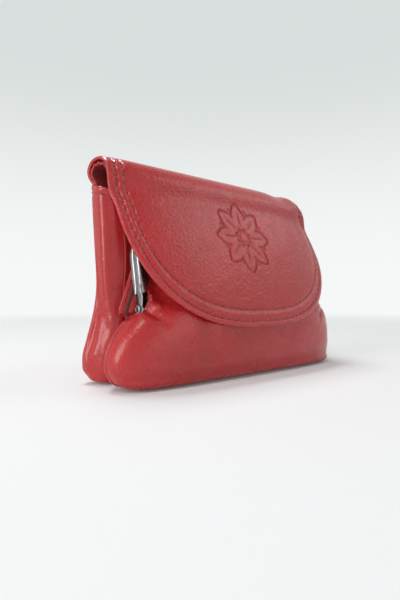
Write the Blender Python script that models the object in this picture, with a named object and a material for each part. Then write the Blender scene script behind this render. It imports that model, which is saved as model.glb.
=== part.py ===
"""Kiss-lock coin purse with a rear pocket and a leather flap.

The purse stands on the plane z = 0 and faces -Y. Lengths are in metres. Soft surfaces are given by how far
forward they lie of the fold, the rolled top edge where the back of the purse turns over and becomes the flap.
Steel pieces are given in the plane of the clasp frame, which leans back from its hinge: "out" is the distance
forward of that plane and "up" is the height above the hinge axis.
"""

import math

import bmesh
import bpy
import numpy as np
from mathutils import Matrix, Vector

# Leather, lining and the clearances between them
LEATHER = 0.0012
LINING = 0.0006
GAP = 0.0003
FACING = LEATHER + GAP

# Half widths: the clasp frame's, and how far each other piece reaches past it
FRAME_HALF_WIDTH = 0.0546
FOLD_OVERHANG = 0.0065
POCKET_OVERHANG = 0.0109
POUCH_OVERHANG = 0.0104
RIM_OVERHANG = 0.0009
FOLD_HALF_WIDTH = FRAME_HALF_WIDTH + FOLD_OVERHANG
POCKET_HALF_WIDTH = FRAME_HALF_WIDTH + POCKET_OVERHANG
POUCH_HALF_WIDTH = FRAME_HALF_WIDTH + POUCH_OVERHANG
RIM_HALF_WIDTH = FRAME_HALF_WIDTH + RIM_OVERHANG

# Heights, each from what stands below it: the pouch, the frame, the fold and the flap that hangs from it
POUCH_SHOULDER_HEIGHT = 0.021
HINGE_RISE = 0.0087
FRAME_HEIGHT = 0.034
FOLD_RISE = 0.0193
POCKET_DROP = 0.0075
FLAP_START_DROP = 0.003
FLAP_MIDDLE_DROP = 0.033
FLAP_OVERLAP = 0.024
HINGE_Z = POUCH_SHOULDER_HEIGHT + HINGE_RISE
FOLD_Z = HINGE_Z + FRAME_HEIGHT + FOLD_RISE
POCKET_HEIGHT = FOLD_Z - POCKET_DROP
FLAP_START_Z = FOLD_Z - FLAP_START_DROP
FLAP_MIDDLE_Z = FOLD_Z - FLAP_MIDDLE_DROP
FLAP_DROP = FRAME_HEIGHT + FLAP_OVERLAP

# How far forward of the fold the pocket, the frame's top, its hinge, the pouch and the flap stand
POCKET_FRONT = 0.0055
FRAME_CLEARANCE = 0.00413
FRAME_SLANT = 0.00637
POUCH_SHIFT = 0.00115
FLAP_STAND_OFF = 0.0061
FRAME_TOP_FORWARD = POCKET_FRONT + FRAME_CLEARANCE
HINGE_FORWARD = FRAME_TOP_FORWARD + FRAME_SLANT
POUCH_MIDDLE = HINGE_FORWARD + POUCH_SHIFT
FLAP_MIDDLE_FORWARD = HINGE_FORWARD + FLAP_STAND_OFF

# The fold at the top, whose leather bends along its highest line
FOLD_Y = 0.01039
FOLD_RADIUS = 0.007
FOLD_SLIT = 0.0006
FOLD_STEPS = 6

# The flap: a line that leans forward as it falls, sags a little and drops back at its sides
FLAP_SLOPE_SHARE = 0.374
FLAP_SAG = 0.0009
FLAP_SAG_SPAN = 0.030
FLAP_SIDE_DROP = 0.0045
FLAP_SIDE_POWER = 4
FLAP_SWELL_POWER = 1.3
FLAP_WIDTH_POWER = 0.735
FLAP_DROP_POWER = 0.755
FLAP_LAST_TURN = math.radians(88)
FLAP_ROWS = 12
FLAP_COLUMNS = 16

# The rear pocket, as a tall bag with a waist and a fat foot
POCKET_REAR = 0.011
POCKET_POWER = 4.5
POCKET_STATION_SHARES = (
    # height, half width, front, rear
    (0.0, 0.86, 0.45, 0.70),
    (0.021, 0.93, 0.75, 0.86),
    (0.066, 0.985, 0.95, 0.96),
    (0.139, 1.0, 1.0, 1.0),
    (0.225, 0.985, 0.97, 0.94),
    (0.344, 0.945, 0.86, 0.78),
    (0.49, 0.928, 0.80, 0.64),
    (0.662, 0.935, 0.88, 0.66),
    (0.834, 0.946, 0.96, 0.69),
    (1.0, 0.954, 1.0, 0.73),
)
TRAY_STEPS = 2
TRAY_GAP = 0.0008
GUSSET_TURN = math.radians(28)
SEAM_TURN = math.radians(0.9)
GUSSET_COLUMNS = 6
DIVIDER_COLUMNS = 12
BACK_COLUMNS = 40

# The clasp frame: two steel channels bent to the same arch, hinged at their lower ends
HINGE_Y = FOLD_Y - HINGE_FORWARD
FRAME_LEAN = math.asin(FRAME_SLANT / FRAME_HEIGHT)
FRAME_CORNER = 0.014
CORNER_STEPS = 6
CHANNEL_DEPTH = 0.0042
CHANNEL_THICKNESS = 0.0031
CHANNEL_WALL = 0.00055
CHANNEL_BACK_ROUND = 0.0005
CHANNEL_START = 0.006
CHANNEL_MIDDLE = CHANNEL_THICKNESS / 2 + GAP / 2
LEATHER_TUCK = 0.0026
CORD_RADIUS = 0.00065
CORD_TUCK = CHANNEL_WALL + CORD_RADIUS + GAP / 3
CORD_START = 0.0105
CORD_SIDES = 8

# Hinge tabs and their hollow rivets
TAB_THICKNESS = 0.00055
TAB_EYE = 0.0021
TAB_NECK = 0.0054
TAB_OVERLAP = 0.0030
EYE_SIDES = 16
RIVET_BORE = 0.0005
RIVET_SHANK = 0.0012
RIVET_CLEARANCE = 0.0001
RIVET_HEAD = 0.0018
RIVET_HEAD_THICKNESS = 0.0004

# The two clasp balls
BALL_RADIUS = 0.0026
BALL_RISE = 0.0044
BALL_OFFSET = 0.00295
BALL_CROSSING = 0.0005
STEM_RADIUS = 0.0009
STEM_COLLAR = 0.0012
STEM_COLLAR_HEIGHT = 0.0005
BALL_SIDES = 14
BALL_STEPS = 7

# The coin pouch below the frame
POUCH_HALF_DEPTH = POUCH_MIDDLE - POCKET_FRONT - GAP
POUCH_POWER = 2.6
POUCH_STATION_SHARES = (
    # height, half width, half depth
    (0.0, 0.80, 0.45),
    (0.057, 0.90, 0.70),
    (0.214, 0.975, 0.90),
    (0.476, 1.0, 0.985),
    (0.762, 0.985, 1.0),
    (1.0, 0.955, 1.0),
)
POUCH_COLUMNS = 40
RIM_DROP = 0.0045
RIM_TURN = math.radians(30)
RIM_POWERS = (3.2, 0.4)
BACK_BULGE = 0.007
BACK_BULGE_FADE_POWER = 1.2
BACK_FIRST_RISE = -0.0028
BACK_ROWS = 6

# The pouch's front above the rim, which opens with the front half of the frame
FRONT_REACH = 0.0102
FRONT_POWERS = (2.6, 0.4545)
FRONT_FADE_POWERS = (1.2, 1.6)
FRONT_RIM_GAP = 0.0004
FRONT_COLUMNS = 16
FRONT_ROWS = 8
FRONT_LIP_ROWS = 3
POUCH_RIM_REACH = FRONT_REACH + LEATHER + GAP + LINING + FRONT_RIM_GAP + GAP

# The hidden magnetic snap between the flap and the pouch
SNAP_UP = 0.0195
SNAP_SIDES = 20
SOCKET_RADIUS = 0.0045
SOCKET_BORE = 0.0024
SOCKET_THICKNESS = 0.0011
STUD_RADIUS = 0.0042
STUD_THICKNESS = 0.0006
STUD_BOSS_RADIUS = 0.0018
STUD_BOSS_HEIGHT = 0.0006
SNAP_LIFT = 0.0005


def clear_scene():
    """Remove whatever the scene holds."""
    for obj in list(bpy.data.objects):
        bpy.data.objects.remove(obj)


def material(name, colour, roughness, metallic):
    """A plain finish."""
    made = bpy.data.materials.new(name)
    made.use_nodes = True
    shader = made.node_tree.nodes["Principled BSDF"]
    shader.inputs["Base Color"].default_value = (*colour, 1)
    shader.inputs["Roughness"].default_value = roughness
    shader.inputs["Metallic"].default_value = metallic
    return made


def red_leather():
    """Smooth red calf leather."""
    return material("red_leather", (0.42, 0.045, 0.05), 0.45, 0)


def red_lining():
    """Thin lining leather, a shade lighter than the outside."""
    return material("red_lining", (0.46, 0.09, 0.08), 0.6, 0)


def pouch_cloth():
    """Woven lining of the coin pouch."""
    return material("pouch_cloth", (0.2, 0.03, 0.035), 0.85, 0)


def nickel():
    """Nickel-plated steel of the frame."""
    return material("nickel", (0.55, 0.54, 0.52), 0.3, 1)


def paper_cord():
    """Twisted paper that wedges the leather in the frame."""
    return material("paper_cord", (0.65, 0.55, 0.4), 0.9, 0)


def at(x, forward, z):
    """A point given by how far forward of the fold it lies."""
    return Vector((x, FOLD_Y - forward, z))


def on_frame(x, out, up):
    """A point given in the leaning plane of the frame."""
    lean_cos, lean_sin = math.cos(FRAME_LEAN), math.sin(FRAME_LEAN)
    return Vector((x, HINGE_Y - out * lean_cos + up * lean_sin, HINGE_Z + out * lean_sin + up * lean_cos))


def signed_power(value, power):
    """A power that keeps its value's sign."""
    return math.copysign(abs(value) ** power, value)


def add_object(name, mesh, finish, owner, origin=Vector()):
    """Make the mesh a named object whose origin is given, under its body's empty."""
    mesh.transform(Matrix.Translation(-origin))
    mesh.materials.append(finish)
    obj = bpy.data.objects.new(name, mesh)
    bpy.context.scene.collection.objects.link(obj)
    obj.parent = owner
    obj.location = origin - (owner.location if owner else Vector())
    mesh.shade_smooth()
    mesh.set_sharp_from_angle(angle=math.radians(50))
    return obj


def add_body(name, place):
    """An empty on the axis that its pieces turn about."""
    body = bpy.data.objects.new(name, None)
    body.location = place
    body.empty_display_size = FOLD_RADIUS
    bpy.context.scene.collection.objects.link(body)
    return body


def mesh_of(name, build):
    """A mesh whose faces are made by build and turned outwards."""
    bm = bmesh.new()
    build(bm)
    bmesh.ops.remove_doubles(bm, verts=bm.verts, dist=GAP / 100)
    bmesh.ops.recalc_face_normals(bm, faces=bm.faces)
    mesh = bpy.data.meshes.new(name)
    bm.to_mesh(mesh)
    bm.free()
    return mesh


def grid_faces(bm, rows, closed, floored):
    """Quads between rows of points, None where the surface stops, and a floor in the first row."""
    made = [[bm.verts.new(point) if point is not None else None for point in row] for row in rows]
    for low, high in zip(made, made[1:]):
        count = len(low)
        for column in range(count if closed else count - 1):
            after = (column + 1) % count
            corners = (low[column], low[after], high[after], high[column])
            if all(corners):
                bm.faces.new(corners)
    if floored:
        bm.faces.new(made[0][::-1])


def inset(rows, closed, distance, floored=False):
    """The same rows, moved in from the surface by a distance."""
    moved = []
    last = len(rows) - 1
    for k, row in enumerate(rows):
        count = len(row)
        new_row = []
        for j, point in enumerate(row):
            if point is None:
                new_row.append(None)
                continue
            before = row[j - 1] if closed or j else None
            after = row[(j + 1) % count] if closed or j < count - 1 else None
            below = rows[k - 1][j] if k else None
            above = rows[k + 1][j] if k < last else None
            across = (after or point) - (before or point)
            upward = (above or point) - (below or point)
            normal = across.cross(upward).normalized()
            if floored and k == 0:
                side = Vector((normal.x, normal.y, 0)).normalized()
                normal = side - Vector((0, 0, 1))
            new_row.append(point - normal * distance)
        moved.append(new_row)
    return moved


def sheet(name, rows, thickness, finish, owner, closed=False, floored=False, depth=0.0, origin=Vector()):
    """A sheet of leather or lining: the rows give its outer face, and its thickness goes inwards."""
    faces = inset(rows, closed, depth, floored) if depth else rows
    bm = bmesh.new()
    grid_faces(bm, faces, closed, floored)
    mesh = bpy.data.meshes.new(name)
    bm.to_mesh(mesh)
    bm.free()
    obj = add_object(name, mesh, finish, owner, origin)
    wall = obj.modifiers.new("wall", "SOLIDIFY")
    wall.thickness = thickness
    wall.offset = -1
    wall.use_even_offset = True
    return obj


def lathe(profile, centre, axis, sides):
    """A closed mesh turned about an axis from (radius, height) points, closed by discs where it has no bore."""
    turn = axis.normalized().to_track_quat("Z", "Y").to_matrix()
    bored = profile[0] == profile[-1]

    def build(bm):
        rings = []
        for radius, height in profile:
            angles = [2 * math.pi * i / sides for i in range(sides)]
            local = [Vector((radius * math.cos(a), radius * math.sin(a), height)) for a in angles]
            rings.append([bm.verts.new(centre + turn @ point) for point in local])
        for low, high in zip(rings, rings[1:]):
            for i in range(sides):
                after = (i + 1) % sides
                bm.faces.new((low[i], low[after], high[after], high[i]))
        if not bored:
            bm.faces.new(rings[0])
            bm.faces.new(rings[-1])

    return mesh_of("turned", build)


# The fold and the flap


def side_bulge(x):
    """How far the flap's middle stands forward of its side edges, at a distance x from the centre."""
    return FLAP_SIDE_DROP * (1 - abs(x / FOLD_HALF_WIDTH) ** FLAP_SIDE_POWER)


def flap_forward(x, z):
    """How far forward the flap's outer face hangs."""
    fall = FLAP_MIDDLE_Z - z
    line = FLAP_MIDDLE_FORWARD + FLAP_SLOPE_SHARE * fall - FLAP_SAG * (fall / FLAP_SAG_SPAN) ** 2
    return line - FLAP_SIDE_DROP + side_bulge(x)


def fold_forward(x, z_above, radius):
    """The front quarter of the fold, which swells towards the flap's bulge as it comes down."""
    top = FOLD_Z + FOLD_RADIUS
    swell = (FOLD_RADIUS - z_above) / (top - FLAP_START_Z)
    return math.sqrt(radius**2 - z_above**2) + side_bulge(x) * swell**FLAP_SWELL_POWER


def flap_rows():
    """The flap's outer face, from its tip up to its slit at the top of the fold."""
    shares = [2 * i / FLAP_COLUMNS - 1 for i in range(FLAP_COLUMNS + 1)]
    first = math.acos(FOLD_SLIT / FOLD_RADIUS)
    rows = []
    for i in range(FOLD_STEPS):
        z_above = FOLD_RADIUS * math.sin(first * (1 - i / FOLD_STEPS))
        xs = [FOLD_HALF_WIDTH * share for share in shares]
        rows.append([at(x, fold_forward(x, z_above, FOLD_RADIUS), FOLD_Z + z_above) for x in xs])
    for i in range(FLAP_ROWS + 1):
        turn = FLAP_LAST_TURN * i / FLAP_ROWS
        z = FLAP_START_Z - FLAP_DROP * math.sin(turn) ** FLAP_DROP_POWER
        half_width = FOLD_HALF_WIDTH * math.cos(turn) ** FLAP_WIDTH_POWER
        rows.append([at(half_width * share, flap_forward(half_width * share, z), z) for share in shares])
    return rows[::-1]


def make_flap(owner):
    """The flap's leather and its lining."""
    rows = flap_rows()
    top = fold_line()
    sheet("flap_leather", rows, LEATHER, red_leather(), owner, origin=top)
    sheet("flap_lining", rows, LINING, red_lining(), owner, depth=FACING, origin=top)


def fold_line():
    """The line that the flap turns about, along the top of the fold."""
    return Vector((0, FOLD_Y, FOLD_Z + FOLD_RADIUS))


# The rear pocket


def station(table, share):
    """The values of a table of shares at one height share."""
    heights = [row[0] for row in table]
    return [float(np.interp(share, heights, [row[i] for row in table])) for i in range(1, len(table[0]))]


def pocket_point(turn, share):
    """A point of the pocket's outside, at an angle round it and a share of its height."""
    width, front, rear = station(POCKET_STATION_SHARES, share)
    middle = (POCKET_FRONT * front - POCKET_REAR * rear) / 2
    depth = (POCKET_FRONT * front + POCKET_REAR * rear) / 2
    power = 2 / POCKET_POWER
    x = POCKET_HALF_WIDTH * width * signed_power(math.cos(turn), power)
    forward = middle - depth * signed_power(math.sin(turn), power)
    return at(x, forward, POCKET_HEIGHT * share)


def pocket_heights(first):
    """Height shares from the first one up to the pocket's top."""
    return [first] + [row[0] for row in POCKET_STATION_SHARES if row[0] > first + GAP / POCKET_HEIGHT]


def spread(start, end, count):
    """Evenly spaced values, both ends included."""
    return [start + (end - start) * i / count for i in range(count + 1)]


def back_panel_rows():
    """The tray under the pocket, the back above it and the rear half of the fold."""
    turns = [2 * math.pi * i / BACK_COLUMNS for i in range(BACK_COLUMNS)]
    is_back = [GUSSET_TURN - SEAM_TURN <= turn <= math.pi - GUSSET_TURN + SEAM_TURN for turn in turns]
    rows = []
    for k, (share, *_) in enumerate(POCKET_STATION_SHARES):
        everywhere = k <= TRAY_STEPS
        ring = [pocket_point(turn, share) for turn in turns]
        rows.append([point if everywhere or back else None for point, back in zip(ring, is_back)])
    edge = max(point.x for point in rows[-1] if point is not None)
    wide = [point.x / edge * FOLD_HALF_WIDTH if point is not None else None for point in rows[-1]]
    last = math.acos(FOLD_SLIT / FOLD_RADIUS)
    for angle in spread(0, last, FOLD_STEPS):
        rear, z = FOLD_RADIUS * math.cos(angle), FOLD_Z + FOLD_RADIUS * math.sin(angle)
        rows.append([at(x, -rear, z) if x is not None else None for x in wide])
    return rows


def make_back(owner):
    """The back panel and the lining that faces it."""
    rows = back_panel_rows()
    sheet("back_panel", rows, LEATHER, red_leather(), owner, closed=True, floored=True)
    faced = [row[1:] for row in rows[TRAY_STEPS:]]
    kept = [j for j, point in enumerate(faced[-1]) if point is not None]
    inner = [row[kept[0] : kept[-1] + 1] for row in faced]
    sheet("back_lining", inner, LINING, red_lining(), owner, depth=FACING)


def pocket_sheet(name, start, end, columns, owner):
    """One upright panel of the pocket, standing on the tray."""
    tray = POCKET_STATION_SHARES[TRAY_STEPS][0]
    turns = spread(start + SEAM_TURN, end - SEAM_TURN, columns)
    heights = pocket_heights(tray + TRAY_GAP / POCKET_HEIGHT)
    rows = [[pocket_point(turn, share) for turn in turns] for share in heights]
    sheet(name, rows, LEATHER, red_leather(), owner)


def make_pocket(owner):
    """Two gussets and the divider that stands between the pocket and the pouch."""
    right_start, left_start = -GUSSET_TURN, math.pi - GUSSET_TURN
    pocket_sheet("right_gusset", right_start, GUSSET_TURN, GUSSET_COLUMNS, owner)
    pocket_sheet("left_gusset", left_start, math.pi + GUSSET_TURN, GUSSET_COLUMNS, owner)
    pocket_sheet("pocket_divider", math.pi + GUSSET_TURN, 2 * math.pi - GUSSET_TURN, DIVIDER_COLUMNS, owner)


# The clasp frame


def arch(tuck, start, corner_steps=CORNER_STEPS):
    """Points (x, up) of the arch a distance inside the frame's outer edge, with the inward direction at each."""
    side, top, radius = FRAME_HALF_WIDTH - tuck, FRAME_HEIGHT - tuck, FRAME_CORNER - tuck
    points = [((side, start), (-1, 0))]
    for angle in spread(0, math.pi / 2, corner_steps):
        away = (math.cos(angle), math.sin(angle))
        place = (side - radius + radius * away[0], top - radius + radius * away[1])
        points.append((place, (-away[0], -away[1])))
    mirrored = [((-x, up), (-across, rise)) for (x, up), (across, rise) in points[::-1]]
    return points + mirrored


def arch_height(x, tuck):
    """How high the arch stands at x, a distance inside the frame's outer edge."""
    side, top, radius = FRAME_HALF_WIDTH - tuck, FRAME_HEIGHT - tuck, FRAME_CORNER - tuck
    beyond = max(0.0, abs(x) - (side - radius))
    return top - radius + math.sqrt(max(0.0, radius**2 - beyond**2))


def sweep(name, path, section, out):
    """A bar with the given section of (inward, out) points, run along the arch."""

    def build(bm):
        rings = []
        for (x, up), (across, rise) in path:
            ring = [on_frame(x + across * a, out + b, up + rise * a) for a, b in section]
            rings.append([bm.verts.new(point) for point in ring])
        count = len(section)
        for low, high in zip(rings, rings[1:]):
            for i in range(count):
                after = (i + 1) % count
                bm.faces.new((low[i], low[after], high[after], high[i]))
        bm.faces.new(rings[0])
        bm.faces.new(rings[-1])

    return mesh_of(name, build)


def channel_section():
    """A U that opens towards the inside of the arch, with a rounded back."""
    half, inner = CHANNEL_THICKNESS / 2, CHANNEL_THICKNESS / 2 - CHANNEL_WALL
    soft = CHANNEL_BACK_ROUND
    right = [(CHANNEL_DEPTH, half), (soft, half), (0.0, half - soft)]
    left = [(a, -b) for a, b in right[::-1]]
    slot = [(CHANNEL_DEPTH, -inner), (CHANNEL_WALL, -inner), (CHANNEL_WALL, inner), (CHANNEL_DEPTH, inner)]
    return right + left + slot


def tab_mesh(side, out, inner_x):
    """A flat tab from the end of the channel down to its eye round the hinge axis."""
    half = CHANNEL_THICKNESS / 2 - CHANNEL_WALL / 2
    near, far = sorted((out - half, out + half))
    arc = spread(math.pi, 2 * math.pi, EYE_SIDES // 2)
    outline = [(TAB_EYE * math.cos(a), TAB_EYE * math.sin(a)) for a in arc]
    top = CHANNEL_START + TAB_OVERLAP
    outline += [(far, TAB_NECK), (far, top), (near, top), (near, TAB_NECK)]

    def build(bm):
        face = bm.faces.new([bm.verts.new(on_frame(side * inner_x, f, s)) for f, s in outline])
        pushed = bmesh.ops.extrude_face_region(bm, geom=[face])["geom"]
        moved = [item for item in pushed if isinstance(item, bmesh.types.BMVert)]
        bmesh.ops.translate(bm, verts=moved, vec=(side * TAB_THICKNESS, 0, 0))

    return mesh_of("tab", build)


def hinge_axis(x=0.0):
    """A point of the axis that the frame's two halves share."""
    return Vector((x, HINGE_Y, HINGE_Z))


def add_boolean(obj, mesh, name, operation):
    """Join a mesh to the object, or cut it out, keeping the tool out of sight."""
    tool = bpy.data.objects.new(name, mesh)
    bpy.context.scene.collection.objects.link(tool)
    tool.hide_render = True
    tool.display_type = "WIRE"
    step = obj.modifiers.new(name, "BOOLEAN")
    step.object = tool
    step.operation = operation


def eye_cutter(side):
    """A pin as wide as the hinge holes."""
    reach = RIVET_HEAD + TAB_THICKNESS
    radius = RIVET_SHANK + RIVET_CLEARANCE
    centre = hinge_axis(side * FRAME_HALF_WIDTH)
    return lathe([(radius, -reach), (radius, reach)], centre, Vector((1, 0, 0)), EYE_SIDES)


def tab_place(is_front):
    """The inner face of a tab: the front half's tab lies outside the rear half's."""
    front = FRAME_HALF_WIDTH - CHANNEL_WALL - GAP / 3
    return front if is_front else front - GAP - TAB_THICKNESS


def make_frame(name, is_front, owner):
    """Half of the frame: its channel, two tabs and the holes in them."""
    out = CHANNEL_MIDDLE if is_front else -CHANNEL_MIDDLE
    mesh = sweep(name, arch(0, CHANNEL_START), channel_section(), out)
    obj = add_object(name, mesh, nickel(), owner, hinge_axis())
    for side, word in ((1, "right"), (-1, "left")):
        tab = tab_mesh(side, out, tab_place(is_front))
        add_boolean(obj, tab, f"{name}_{word}_tab", "UNION")
        add_boolean(obj, eye_cutter(side), f"{name}_{word}_hole", "DIFFERENCE")


def make_frame_cord(name, is_front, owner):
    """The paper cord in the channel, pressed in over the edge of the leather."""
    out = CHANNEL_MIDDLE if is_front else -CHANNEL_MIDDLE
    angles = spread(0, 2 * math.pi, CORD_SIDES)[:-1]
    section = [(CORD_RADIUS * math.cos(a), CORD_RADIUS * math.sin(a)) for a in angles]
    mesh = sweep(name, arch(CORD_TUCK, CORD_START), section, out)
    add_object(name, mesh, paper_cord(), owner, hinge_axis())


def make_ball(name, is_front, owner):
    """A clasp ball on its stem, which leans over the other half of the frame."""
    sign = 1 if is_front else -1
    x = -sign * BALL_OFFSET
    top = FRAME_HEIGHT + BALL_RISE
    centre = on_frame(x, -sign * BALL_CROSSING, top)
    foot = on_frame(x, sign * CHANNEL_MIDDLE, FRAME_HEIGHT + GAP)
    axis = centre - foot
    lean = math.asin((BALL_CROSSING + CHANNEL_MIDDLE) / axis.length)
    base = STEM_COLLAR * math.sin(lean)
    profile = [(STEM_COLLAR, base), (STEM_COLLAR, base + STEM_COLLAR_HEIGHT)]
    first = math.asin(STEM_RADIUS / BALL_RADIUS)
    profile.append((STEM_RADIUS, base + 2 * STEM_COLLAR_HEIGHT))
    for angle in spread(first, math.pi - first / 2, BALL_STEPS):
        height = axis.length - BALL_RADIUS * math.cos(angle)
        profile.append((BALL_RADIUS * math.sin(angle), height))
    mesh = lathe(profile, foot, axis, BALL_SIDES)
    add_object(name, mesh, nickel(), owner, hinge_axis())


def make_rivet(name, side, owner):
    """The hollow rivet that both tabs turn on."""
    inner = tab_place(False) - GAP - RIVET_HEAD_THICKNESS
    outer = tab_place(True) + TAB_THICKNESS + GAP + RIVET_HEAD_THICKNESS
    bore_in, bore_out = (RIVET_BORE, inner), (RIVET_BORE, outer)
    head_in = [(RIVET_HEAD, inner), (RIVET_HEAD, inner + RIVET_HEAD_THICKNESS)]
    shank = [(RIVET_SHANK, inner + RIVET_HEAD_THICKNESS), (RIVET_SHANK, outer - RIVET_HEAD_THICKNESS)]
    head_out = [(RIVET_HEAD, outer - RIVET_HEAD_THICKNESS), (RIVET_HEAD, outer)]
    profile = [bore_in, *head_in, *shank, *head_out, bore_out, bore_in]
    mesh = lathe(profile, hinge_axis(), Vector((side, 0, 0)), EYE_SIDES)
    add_object(name, mesh, nickel(), owner, hinge_axis())


# The coin pouch


def lining_tuck():
    """How far the lining stays inside the frame's outer edge."""
    return CHANNEL_DEPTH + GAP


def pouch_ring_point(turn, share):
    """A point of the pouch's outside below its shoulder."""
    width, depth = station(POUCH_STATION_SHARES, share)
    power = 2 / POUCH_POWER
    x = POUCH_HALF_WIDTH * width * signed_power(math.cos(turn), power)
    forward = POUCH_MIDDLE - POUCH_HALF_DEPTH * depth * signed_power(math.sin(turn), power)
    return at(x, forward, POUCH_SHOULDER_HEIGHT * share)


def rim_point(turn):
    """A point of the line where the moving front meets the pouch, and behind it the foot of the pouch's back."""
    share = signed_power(math.cos(turn), 2 / POUCH_POWER)
    x = RIM_HALF_WIDTH * share
    reach = POUCH_RIM_REACH * max(0.0, 1 - abs(share) ** RIM_POWERS[0]) ** RIM_POWERS[1]
    front = reach * math.cos(RIM_TURN)
    edge = CHANNEL_MIDDLE + LEATHER / 2
    rear = -edge - BACK_BULGE * (1 - abs(share) ** POUCH_POWER)
    at_side = abs(math.sin(turn)) < GAP
    out = (front + rear) / 2 if at_side else (rear if math.sin(turn) > 0 else front)
    drop = RIM_DROP if at_side or math.sin(turn) > 0 else max(RIM_DROP, reach * math.sin(RIM_TURN))
    return on_frame(x, out, -drop)


def back_point(share, rise, tuck):
    """A point of the pouch's back, inside the rear half of the frame."""
    x = (FRAME_HALF_WIDTH - tuck) * share
    top = arch_height(x, tuck)
    up = BACK_FIRST_RISE + (top - BACK_FIRST_RISE) * rise
    fade = (1 - rise) ** BACK_BULGE_FADE_POWER
    edge = CHANNEL_MIDDLE + LEATHER / 2
    return on_frame(x, -edge - BACK_BULGE * (1 - abs(share) ** POUCH_POWER) * fade, up)


def pouch_rows(tuck):
    """The bowl of the pouch, its rim and its back up to the frame."""
    turns = [2 * math.pi * i / POUCH_COLUMNS for i in range(POUCH_COLUMNS)]
    rows = [[pouch_ring_point(turn, row[0]) for turn in turns] for row in POUCH_STATION_SHARES]
    rows.append([rim_point(turn) for turn in turns])
    behind = POUCH_COLUMNS // 2
    shares = [signed_power(math.cos(turn), 2 / POUCH_POWER) for turn in turns]
    for rise in spread(0, 1, BACK_ROWS):
        rows.append([back_point(share, rise, tuck) if j <= behind else None for j, share in enumerate(shares)])
    return rows


def make_pouch(owner):
    """The pouch's leather and the cloth that lines it."""
    sheet("pouch_bag", pouch_rows(LEATHER_TUCK), LEATHER, red_leather(), owner, closed=True, floored=True)
    rows = pouch_rows(lining_tuck())
    sheet("pouch_lining", rows, LINING, pouch_cloth(), owner, closed=True, floored=True, depth=FACING)


def front_out(x, up):
    """How far the pouch's front swells forward of the frame's plane, at and above the hinge."""
    side = FRAME_HALF_WIDTH - lining_tuck()
    across = max(0.0, 1 - abs(x / side) ** FRONT_POWERS[0]) ** FRONT_POWERS[1]
    share = min(1.0, up / arch_height(x, lining_tuck()))
    fade = (1 - share ** FRONT_FADE_POWERS[0]) ** FRONT_FADE_POWERS[1]
    edge = CHANNEL_MIDDLE + LEATHER / 2
    return edge + (FRONT_REACH - edge) * across * fade


def front_rows(tuck):
    """The moving front: a lip that turns inside the rim, then the swell up to the frame."""
    mouth, edge = FRAME_HALF_WIDTH - lining_tuck(), FRAME_HALF_WIDTH - tuck
    xs = [mouth * math.sin(angle) for angle in spread(-math.pi / 2, math.pi / 2, FRONT_COLUMNS)]
    if edge > mouth:
        xs = [-edge, *xs, edge]
    rows = []
    for turn in spread(-RIM_TURN, 0, FRONT_LIP_ROWS)[:-1]:
        reaches = [front_out(x, 0) for x in xs]
        rows.append([on_frame(x, r * math.cos(turn), r * math.sin(turn)) for x, r in zip(xs, reaches)])
    heights = [[arch_height(x, lining_tuck()) * rise for x in xs] for rise in spread(0, 1, FRONT_ROWS)]
    if edge > mouth:
        heights.append([arch_height(x, tuck) for x in xs])
    for ups in heights:
        rows.append([on_frame(x, front_out(x, up), up) for x, up in zip(xs, ups)])
    return rows


def make_pouch_front(owner):
    """The front's leather and its lining."""
    axis = hinge_axis()
    sheet("pouch_front_panel", front_rows(LEATHER_TUCK), LEATHER, red_leather(), owner, origin=axis)
    rows = front_rows(lining_tuck())
    sheet("pouch_front_lining", rows, LINING, pouch_cloth(), owner, depth=FACING, origin=axis)


# The magnetic snap


def snap_line():
    """A point of the pouch's front, the direction the snap faces and the way from there to the flap's lining."""
    step = GAP
    low, high = (on_frame(0, front_out(0, up), up) for up in (SNAP_UP - step, SNAP_UP + step))
    place = (low + high) / 2
    pouch_slope = math.atan2(high.y - low.y, high.z - low.z)
    slope = (pouch_slope + math.atan(FLAP_SLOPE_SHARE)) / 2
    facing = Vector((0, -math.cos(slope), math.sin(slope)))
    depth = (FACING + LINING) / math.cos(math.atan(FLAP_SLOPE_SHARE))
    reach = 0.0
    while FOLD_Y - (place + facing * reach).y < flap_forward(0, (place + facing * reach).z) - depth:
        reach += GAP / 10
    return place, facing, reach


def make_socket(owner):
    """The snap's socket on the pouch."""
    place, facing, _ = snap_line()
    top = SOCKET_THICKNESS
    ring = [(SOCKET_BORE, 0), (SOCKET_RADIUS, 0), (SOCKET_RADIUS, top), (SOCKET_BORE, top), (SOCKET_BORE, 0)]
    mesh = lathe(ring, place + facing * SNAP_LIFT, facing, SNAP_SIDES)
    add_object("pouch_snap_socket", mesh, nickel(), owner, hinge_axis())


def make_stud(owner):
    """The snap's stud under the flap."""
    place, facing, reach = snap_line()
    boss = [(STUD_BOSS_RADIUS, STUD_THICKNESS), (STUD_BOSS_RADIUS, STUD_THICKNESS + STUD_BOSS_HEIGHT)]
    profile = [(STUD_RADIUS, 0), (STUD_RADIUS, STUD_THICKNESS), *boss]
    mesh = lathe(profile, place + facing * (reach - SNAP_LIFT), -facing, SNAP_SIDES)
    add_object("flap_snap_stud", mesh, nickel(), owner, fold_line())


def main():
    """Build the purse as three bodies: what stands, the flap and the front half of the frame."""
    clear_scene()
    purse = add_body("purse_body", Vector())
    flap = add_body("flap_body", fold_line())
    front = add_body("front_frame_body", hinge_axis())
    make_back(purse)
    make_pocket(purse)
    make_pouch(purse)
    make_frame("rear_frame", False, purse)
    make_frame_cord("rear_frame_cord", False, purse)
    make_ball("rear_clasp_ball", False, purse)
    make_rivet("right_hinge_rivet", 1, purse)
    make_rivet("left_hinge_rivet", -1, purse)
    make_flap(flap)
    make_stud(flap)
    make_frame("front_frame", True, front)
    make_frame_cord("front_frame_cord", True, front)
    make_ball("front_clasp_ball", True, front)
    make_pouch_front(front)
    make_socket(front)


main()
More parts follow.
